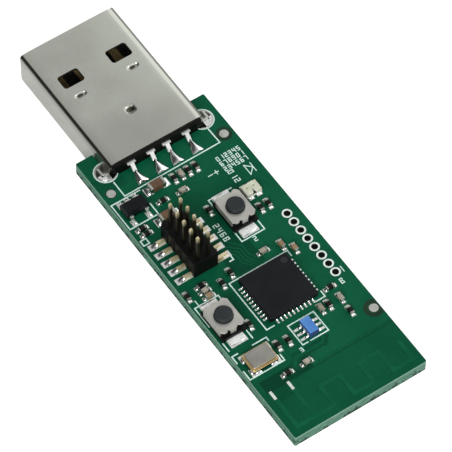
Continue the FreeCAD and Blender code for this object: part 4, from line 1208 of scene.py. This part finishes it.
def hole_rings():
    """The row of plated holes."""
    middle = (BOARD_TOP + BOARD_LOW.z) / 2.0
    points = [(HOLE_X, y_at(HOLE_FIRST_BACK + k * HOLE_PITCH), middle) for k in range(HOLES)]
    values = {"Hole": HOLE_R, "Wall": HOLE_WALL, "Ring": HOLE_RING_R, "Length": HOLE_LENGTH}
    piece = grow("hole_rings", points, [], [], EYELETS, values, "ring")
    return finish_piece(piece, "ring", replaces=("hole_barrels",))


def tab_outlines():
    """A thin pale ring round each plated hole that holds a leg."""
    shape = bmesh.new()
    low, high = box_of("tab_barrels")
    radius = (high.y - low.y) / 2.0
    middle = (high.x - radius, EDGE_Y - (low.y + high.y) / 2.0)
    for side in SIDES:
        profile = ((radius, PAD_TOP - 0.03), (radius, PAD_TOP + 0.008), (radius - 0.1, PAD_TOP + 0.008),
                   (radius - 0.1, PAD_TOP - 0.03))
        turned(shape, side * middle[0], middle[1], profile)
    finish_piece(store("tab_outlines", shape), "ink")


def header_pins(side, name, node):
    """Five bent pins of one row: foot, knee and post, with thinned ends."""
    points = []
    edges = []
    slim = []
    bends = []
    x = HEADER_X + side * PIN_PITCH / 2.0
    end = HEADER_X + side * PIN_REACH + (LONG_FEET if side > 0 else 0.0)
    low = PAD_TOP + PIN_THICK / 2.0
    for step in range(PIN_ROWS):
        y = y_at(HEADER_BACK + (step - (PIN_ROWS - 1) / 2.0) * PIN_PITCH)
        first = len(points)
        path = (
            ((end, y, low), 0.8, 0.0), ((end - side * 0.06, y, low), 1.0, 0.0), ((x, y, low), 1.0, PIN_KNEE),
            ((x, y, PIN_HIGH - PIN_TIP), 1.0, 0.0), ((x, y, PIN_HIGH), 0.5, 0.0))
        for place, thin, bend in path:
            points.append(place)
            slim.append(thin)
            bends.append(bend)
        edges += [(first + k, first + k + 1) for k in range(len(path) - 1)]
    fields = [("slim", "FLOAT", slim), ("bend", "FLOAT", bends)]
    values = {"Thickness": PIN_SHARE * PIN_THICK, "Edge": PIN_EDGE}
    piece = grow(name, points, edges, fields, PINS, values, "gold")
    return finish_piece(piece, "gold", replaces=(node,), smooth=35.0)


SEGMENTS = {
    "a": ((0, 0), (1, 0)), "b": ((1, 0), (1, 1)), "c": ((1, 1), (1, 2)), "d": ((0, 2), (1, 2)),
    "e": ((0, 1), (0, 2)), "f": ((0, 0), (0, 1)), "g": ((0, 1), (1, 1)),
}
NUMERALS = {
    "0": "abcdef", "1": "bc", "2": "abged", "3": "abgcd", "4": "fgbc", "5": "afgcd", "6": "afgedc",
    "7": "abc", "8": "abcdefg", "9": "abfgcd",
}


def numeral_lines(digit, x, back, size, along=False):
    """A plain numeral as short lines; along turns it to be read down the board's length."""
    lines = []
    for part in NUMERALS[digit]:
        ends = []
        for across, down in SEGMENTS[part]:
            u = across * size * 0.5
            v = down * size * 0.5
            ends.append((x - v, back + u) if along else (x + u, back + v))
        lines.append(tuple(ends))
    return lines


def outline_lines(corners, closed=True):
    """Lines from corner to corner."""
    pairs = list(zip(corners, corners[1:]))
    if closed:
        pairs.append((corners[-1], corners[0]))
    return pairs


# printed outlines as X and distance back: plug, regulator, header, switches, chip, crystal and balun
PRINTED = (
    ((-6.15, 4.3), (-6.15, 6.4), (6.1, 6.3), (6.05, 4.1)),
    ((-4.45, 8.7), (-4.45, 10.3), (-8.05, 10.3), (-8.05, 6.65), (-4.45, 6.65)),
    ((-7.3, 12.15), (-7.3, 12.85), (-8.0, 12.85), (-8.0, 12.15), (-7.3, 12.15)),
    ((-1.15, 18.9), (-1.15, 19.5), (-1.6, 19.5)),
    ((0.85, 12.9), (0.85, 11.85), (3.75, 11.85)),
    ((0.85, 16.7), (0.85, 18.15), (3.75, 18.15), (3.75, 16.7)),
    ((-7.95, 25.0), (-7.95, 22.3), (-5.0, 22.3), (-5.0, 22.8)),
    ((-7.95, 27.5), (-7.95, 28.6)),
    ((-5.0, 27.5), (-5.0, 28.6)),
    ((-2.3, 28.65), (-3.25, 28.65), (-3.25, 21.75), (4.15, 21.75), (4.15, 22.5)),
    ((3.0, 28.65), (4.15, 28.65), (4.15, 27.9)),
    ((-8.1, 30.3), (-8.1, 29.35), (-7.4, 29.35)),
    ((-5.5, 29.35), (-3.8, 29.35), (-3.8, 29.8)),
    ((-8.1, 31.5), (-8.1, 32.7), (-3.8, 32.7), (-3.8, 31.9)),
    ((-0.55, 32.25), (-1.2, 32.25), (-1.2, 29.5), (2.05, 29.5), (2.05, 32.25), (-0.2, 32.25)),
)


# the covered vias: how many, the first's X, their pitch and their distance back
VIAS = 20
VIA_FIRST_X = -0.9
VIA_PITCH = 0.46
VIA_BACK = 34.7

# copper lines under the mask
FEED = ((1.1, 32.7), (0.75, 33.05), (-2.5, 33.05), (-3.3, 33.9))
HIDDEN_TRACES = (
    ((-1.6, 18.2), (-0.6, 19.2), (-0.6, 20.4), (0.1, 21.3)),
    ((-1.6, 17.7), (-0.2, 19.0), (-0.2, 20.2), (0.5, 21.3)),
    ((-1.6, 17.2), (0.2, 18.8), (0.2, 20.0), (0.9, 21.3)),
    ((-1.2, 16.6), (0.6, 18.5), (0.6, 19.8), (1.3, 21.3)),
    ((2.2, 19.6), (3.2, 20.3), (5.2, 20.3), (5.9, 19.6)),
    ((2.4, 20.0), (3.3, 20.7), (5.0, 20.7)),
)


def ground_vias():
    """A row of small covered vias along the edge of the ground copper."""
    middle = (BOARD_TOP + BOARD_LOW.z) / 2.0
    points = [(VIA_FIRST_X + VIA_PITCH * k, y_at(VIA_BACK), middle) for k in range(VIAS)]
    values = {"Hole": 0.05, "Wall": 0.03, "Ring": 0.11, "Ring Thickness": 0.02, "Length": 1.614, "Sides": 14}
    piece = grow("ground_vias", points, [], [], EYELETS, values, "gap")
    finish_piece(piece, "gap")


def small_print():
    """Plain numerals and marks: header rows, switches, holes and a lamp sign."""
    lines = []
    for row, digits in enumerate(("012345", "678901", "234567")):
        for step, digit in enumerate(digits):
            lines += numeral_lines(digit, 4.55 + 0.52 * step, 7.75 + 0.75 * row, 0.5)
    for step, digit in enumerate("2468"):
        lines += numeral_lines(digit, 0.0, 14.85 + 0.65 * step, 0.62, True)
    for step, digit in enumerate("012"):
        lines += numeral_lines(digit, 5.2, 9.95 + 0.65 * step, 0.6, True)
    lines += numeral_lines("2", 2.1, 18.35, 0.55)
    lines += numeral_lines("1", -7.7, 21.55, 0.6)
    lines += numeral_lines("3", -1.75, 32.45, 0.5)
    lines += numeral_lines("8", 6.55, 27.75, 0.6)
    lines += outline_lines(((7.6, 26.5), (7.6, 27.2)), False)
    lines += outline_lines(((6.5, 10.2), (7.2, 10.9), (6.5, 11.6)))
    lines += outline_lines(((7.25, 10.3), (7.25, 11.5)), False)
    lines += outline_lines(((2.6, 9.3), (3.1, 9.3)), False)
    lines += outline_lines(((3.6, 9.05), (3.6, 9.55)), False)
    lines += outline_lines(((3.35, 9.3), (3.85, 9.3)), False)
    return lines


def lay_strips(name, lines, width, thickness, low, finish):
    """Flat strips on the board's face along a list of lines, each end carried on by half a width."""
    points = []
    edges = []
    for step, ((x0, b0), (x1, b1)) in enumerate(lines):
        length = math.hypot(x1 - x0, b1 - b0)
        ux = (x1 - x0) / length * width / 2.0
        ub = (b1 - b0) / length * width / 2.0
        z = low + thickness / 2.0 + 0.0015 * (step % 4)
        edges.append((len(points), len(points) + 1))
        points.append((x0 - ux, y_at(b0 - ub), z))
        points.append((x1 + ux, y_at(b1 + ub), z))
    piece = grow(name, points, edges, [], STRIPS, {"Width": width, "Thickness": thickness}, finish)
    return finish_piece(piece, finish)


def turned(shape, x, back, profile, sides=48, closed=True):
    """A round shape about an upright line, from radii and heights, as a loop or capped at both ends."""
    loops = []
    for radius, z in profile:
        loop = []
        for k in range(sides):
            angle = 2.0 * math.pi * k / sides
            across = x + radius * math.cos(angle)
            along = y_at(back) + radius * math.sin(angle)
            loop.append(shape.verts.new((across, along, z)))
        loops.append(loop)
    pairs = list(zip(loops, loops[1:]))
    if closed:
        pairs.append((loops[-1], loops[0]))
    for first, second in pairs:
        for k in range(sides):
            n = (k + 1) % sides
            shape.faces.new((first[k], first[n], second[n], second[k]))
    if not closed:
        shape.faces.new(loops[-1])
        shape.faces.new(tuple(reversed(loops[0])))


def low_button(radius, low, high, edge):
    """The profile of a low round plate with a soft rim."""
    return ((radius, low), (radius, high - edge), (radius - edge * 0.3, high - edge * 0.3),
            (radius - edge, high), (radius * 0.5, high + 0.002))


def sighting_marks():
    """The three bare discs, and the ring of laminate that the mask leaves open round each."""
    discs = bmesh.new()
    bare = bmesh.new()
    low = BOARD_TOP - 0.02
    high = BOARD_TOP + 0.004
    for x, back, wide in DISCS:
        turned(discs, x, back, low_button(DISC_R, low, PAD_TOP - 0.005, 0.03), closed=False)
        inner = DISC_R - 0.02
        turned(bare, x, back, ((wide, low), (wide, high), (inner, high), (inner, low)))
    for point in bare.verts:
        point.co.x = min(point.co.x, BOARD_HIGH.x - 0.06)
    finish_piece(store("sighting_marks", discs), "disc", replaces=("sighting_discs",))
    finish_piece(store("bare_rings", bare), "bare")


def chip_marks():
    """The chip's moulded dot."""
    shape = bmesh.new()
    top = box_of("radio_chip_body")[1].z
    turned(shape, 2.83, 22.97, low_button(0.38, top - 0.02, top + 0.003, 0.004), 40, False)
    finish_piece(store("chip_dot", shape), "mark")


def lamp_marks():
    """The two dies that show through the lamp's lens."""
    low, high = box_of("led_lens")
    middle = (low + high) / 2.0
    shape = bmesh.new()
    for dx, dy in ((-0.42, 0.12), (0.38, 0.1)):
        profile = low_button(0.11, high.z - 0.03, high.z + 0.001, 0.01)
        turned(shape, middle.x + dx, EDGE_Y - middle.y - dy, profile, 20, False)
    finish_piece(store("lamp_dies", shape), "die")
    notch = bmesh.new()
    front = low.y - 0.004
    top = high.z + 0.002
    outline = (
        (0.0, low.y + 0.6, top), (-0.05, low.y + 0.3, top), (-0.14, front, top), (-0.3, front, low.z + 0.1),
        (0.3, front, low.z + 0.1), (0.14, front, top), (0.05, low.y + 0.3, top))
    back = [notch.verts.new((middle.x + x, y + 0.05, z - 0.05)) for x, y, z in outline]
    face = [notch.verts.new((middle.x + x, y, z)) for x, y, z in outline]
    for chain in ((0, 1, 6), (1, 2, 5, 6), (2, 3, 4, 5)):
        notch.faces.new([face[k] for k in chain])
        notch.faces.new([back[k] for k in reversed(chain)])
    for k in range(len(outline)):
        n = (k + 1) % len(outline)
        notch.faces.new((face[k], back[k], back[n], face[n]))
    bmesh.ops.recalc_face_normals(notch, faces=notch.faces)
    finish_piece(store("lamp_notch", notch), "resistor")


DRESSED = (
    ("plug_insulator", "insulator", "plug_black", 0.05),
    ("tab_barrels", "disc", "tinned_copper", 0.02),
    ("aerial_trace", "covered", "covered_copper", 0.012),
    ("header_body", "header", "header_black", 0.05),
    ("radio_chip_body", "chip", "chip_black", 0.06),
    ("radio_chip_leads", "tin", "lead_tin", 0.01),
    ("regulator_body", "regulator", "chip_black", 0.05),
    ("regulator_leads", "tin", "lead_tin", 0.03),
    ("balun_body", "blue", "balun_blue", 0.05),
    ("balun_terminals", "lead", "lead_tin", 0.01),
    ("crystal_base", "crystal", "crystal_black", 0.03),
    ("crystal_rim", "seal", "crystal_gold", 0.02),
    ("crystal_lid", "lid", "crystal_steel", 0.14),
    ("led_base", "lamp", "lamp_white", 0.03),
    ("led_lens", "lens", "lamp_lens", 0.06),
    ("led_terminals", "lead", "lead_tin", 0.01),
    ("resistor_bodies", "resistor", "resistor_black", 0.03),
    ("resistor_ends", "end", "lead_tin", 0.04),
    ("tan_capacitor_bodies", "tan", "ceramic_tan", 0.04),
    ("tan_capacitor_ends", "end", "lead_tin", 0.05),
    ("pale_capacitor_bodies", "pale", "ceramic_pale", 0.04),
    ("pale_capacitor_ends", "end", "lead_tin", 0.05),
    ("large_capacitor_bodies", "brown", "ceramic_brown", 0.07),
    ("large_capacitor_ends", "end", "lead_tin", 0.08),
    ("tab_solder", "solder", "solder", 0.06),
)
for node, finish, slot, width in DRESSED:
    dress(node, finish, width)
for count in ("one", "two", "three", "four"):
    dress("plug_contact_" + count, "contact", 0.04)
for switch in ("one", "two"):
    dress("switch_" + switch + "_base", "base", 0.04)
    dress("switch_" + switch + "_cover", "cover", 0.03)
    dress("switch_" + switch + "_terminals", "lead", 0.03)
    dress("switch_" + switch + "_button", "button", 0.05, "button_" + switch)

board_piece()
plug_housing()
contact_mounds()
part_pads()
hole_rings()
header_pins(-1, "pins_left", "header_pins_left")
header_pins(1, "pins_right", "header_pins_right")
part_drops()
sighting_marks()
tab_outlines()
chip_marks()
lamp_marks()
outlines = [line for corners in PRINTED for line in outline_lines(corners, False)]
lay_strips("printed_outlines", outlines, INK_WIDTH, INK, BOARD_TOP, "ink")
lay_strips("printed_numbers", small_print(), NUMERAL_WIDTH, INK, BOARD_TOP, "ink")
feed = outline_lines(FEED, False)
lay_strips("feed_clearance", feed, 0.95, 0.006, BOARD_TOP, "gap")
lay_strips("feed_line", feed, 0.24, 0.012, BOARD_TOP, "covered")
hidden = [line for path in HIDDEN_TRACES for line in outline_lines(path, False)]
lay_strips("hidden_traces", hidden, 0.13, 0.006, BOARD_TOP, "covered")
ground_vias()


# Stage

def floor():
    """A plain white floor, part of whose white shines to the camera so that shadows on it stay faint."""
    material, tree, shader = new_material("floor white")
    shader.inputs["Base Color"].default_value = paint(206, 206, 206)
    shader.inputs["Roughness"].default_value = 0.9
    shader.inputs["Emission Color"].default_value = (1.0, 1.0, 1.0, 1.0)
    path = tree.nodes.new("ShaderNodeLightPath")
    seen = add_math(tree, "MAXIMUM", path.outputs["Is Camera Ray"], path.outputs["Is Transmission Ray"])
    seen = add_math(tree, "MULTIPLY_ADD", path.outputs["Is Glossy Ray"], 0.15, seen)
    tree.links.new(add_math(tree, "MULTIPLY", seen, 0.75), shader.inputs["Emission Strength"])
    shape = bmesh.new()
    bmesh.ops.create_grid(shape, x_segments=1, y_segments=1, size=1.5)
    ground = store("floor", shape)
    ground.data.materials.append(material)


def area_light(name, place, size, power):
    """A square soft light at a place, in metres, that faces the stick."""
    lamp = bpy.data.lights.new(name, "AREA")
    lamp.shape = "SQUARE"
    lamp.size = size
    lamp.energy = power
    stand = bpy.data.objects.new(name, lamp)
    bpy.context.scene.collection.objects.link(stand)
    stand.location = place
    stand.rotation_euler = (-Vector(place)).to_track_quat("-Z", "Y").to_euler()


def studio():
    """White to the camera, and to the object a room: even overhead, dark on the left and round the viewer's
    place, and bright on the right."""
    world = bpy.data.worlds.new("studio")
    bpy.context.scene.world = world
    world.use_nodes = True
    tree = world.node_tree
    sky = tree.nodes["Background"]
    sky.inputs["Color"].default_value = (1.0, 1.0, 1.0, 1.0)
    way = add_node(tree, "ShaderNodeTexCoord").outputs["Generated"]
    parts = add_node(tree, "ShaderNodeSeparateXYZ", {0: way}).outputs

    def toward(direction, start, end):
        """How near a direction is to another, from 0 at one cosine to 1 at another."""
        values = {0: way, 1: Vector(direction).normalized()}
        near = add_node(tree, "ShaderNodeVectorMath", values, operation="DOT_PRODUCT").outputs["Value"]
        return add_ramp(tree, near, start, end)

    ahead = add_ramp(tree, parts["Y"], 0.0, 0.3)
    left = add_math(tree, "MULTIPLY", add_ramp(tree, parts["X"], 0.14, -0.24), ahead)
    viewer = toward((-0.31, -0.46, 0.83), 0.8, 0.95)
    right = add_math(tree, "MULTIPLY", add_ramp(tree, parts["X"], 0.38, 0.7), ahead)
    level = add_math(tree, "MULTIPLY_ADD", left, -0.58, 0.64)
    level = add_math(tree, "MULTIPLY_ADD", viewer, -0.45, level)
    level = add_math(tree, "MULTIPLY_ADD", right, 0.9, level)
    seen = add_node(tree, "ShaderNodeLightPath").outputs
    straight = add_math(tree, "MAXIMUM", seen["Is Camera Ray"], seen["Is Transmission Ray"])
    shown = add_node(tree, "ShaderNodeMix", {0: straight, 2: level, 3: 1.0}).outputs[0]
    tree.links.new(shown, sky.inputs["Strength"])
    area_light("key", (-0.3, -0.3, 0.36), 0.28, 2.4)
    area_light("fill", (0.35, -0.25, 0.3), 0.3, 0.7)


# Camera, at the photograph's viewing angle

LOOK_AT = Vector((0.0, 1.325, 0.0)) * MM
AZIMUTH = math.radians(33.947)
ELEVATION = math.radians(56.032)
ROLL = math.radians(-0.182)
DISTANCE = 406.479 * MM
FOCAL_PIXELS = 3819.947
FRAME_PIXELS = 452.0
AXIS_PIXEL = (202.544, 220.64)
SENSOR = 36.0


def camera():
    """The camera that was fitted to the photograph."""
    ahead = Vector((
        math.sin(AZIMUTH) * math.cos(ELEVATION),
        math.cos(AZIMUTH) * math.cos(ELEVATION),
        -math.sin(ELEVATION)))
    level = ahead.cross(Vector((0.0, 0.0, 1.0))).normalized()
    above = level.cross(ahead)
    right = math.cos(ROLL) * level + math.sin(ROLL) * above
    up = math.cos(ROLL) * above - math.sin(ROLL) * level
    turn = Matrix((right, up, -ahead)).transposed().to_4x4()
    lens = bpy.data.cameras.new("camera")
    lens.sensor_width = SENSOR
    lens.lens = FOCAL_PIXELS / FRAME_PIXELS * SENSOR
    lens.shift_x = (FRAME_PIXELS / 2.0 - AXIS_PIXEL[0]) / FRAME_PIXELS
    lens.shift_y = (AXIS_PIXEL[1] - FRAME_PIXELS / 2.0) / FRAME_PIXELS
    lens.clip_start = 0.01
    lens.clip_end = 10.0
    eye = bpy.data.objects.new("camera", lens)
    bpy.context.scene.collection.objects.link(eye)
    eye.matrix_world = Matrix.Translation(LOOK_AT - ahead * DISTANCE) @ turn
    bpy.context.scene.camera = eye


floor()
studio()
camera()
bpy.context.scene.view_settings.view_transform = "Standard"
bpy.context.view_layer.update()
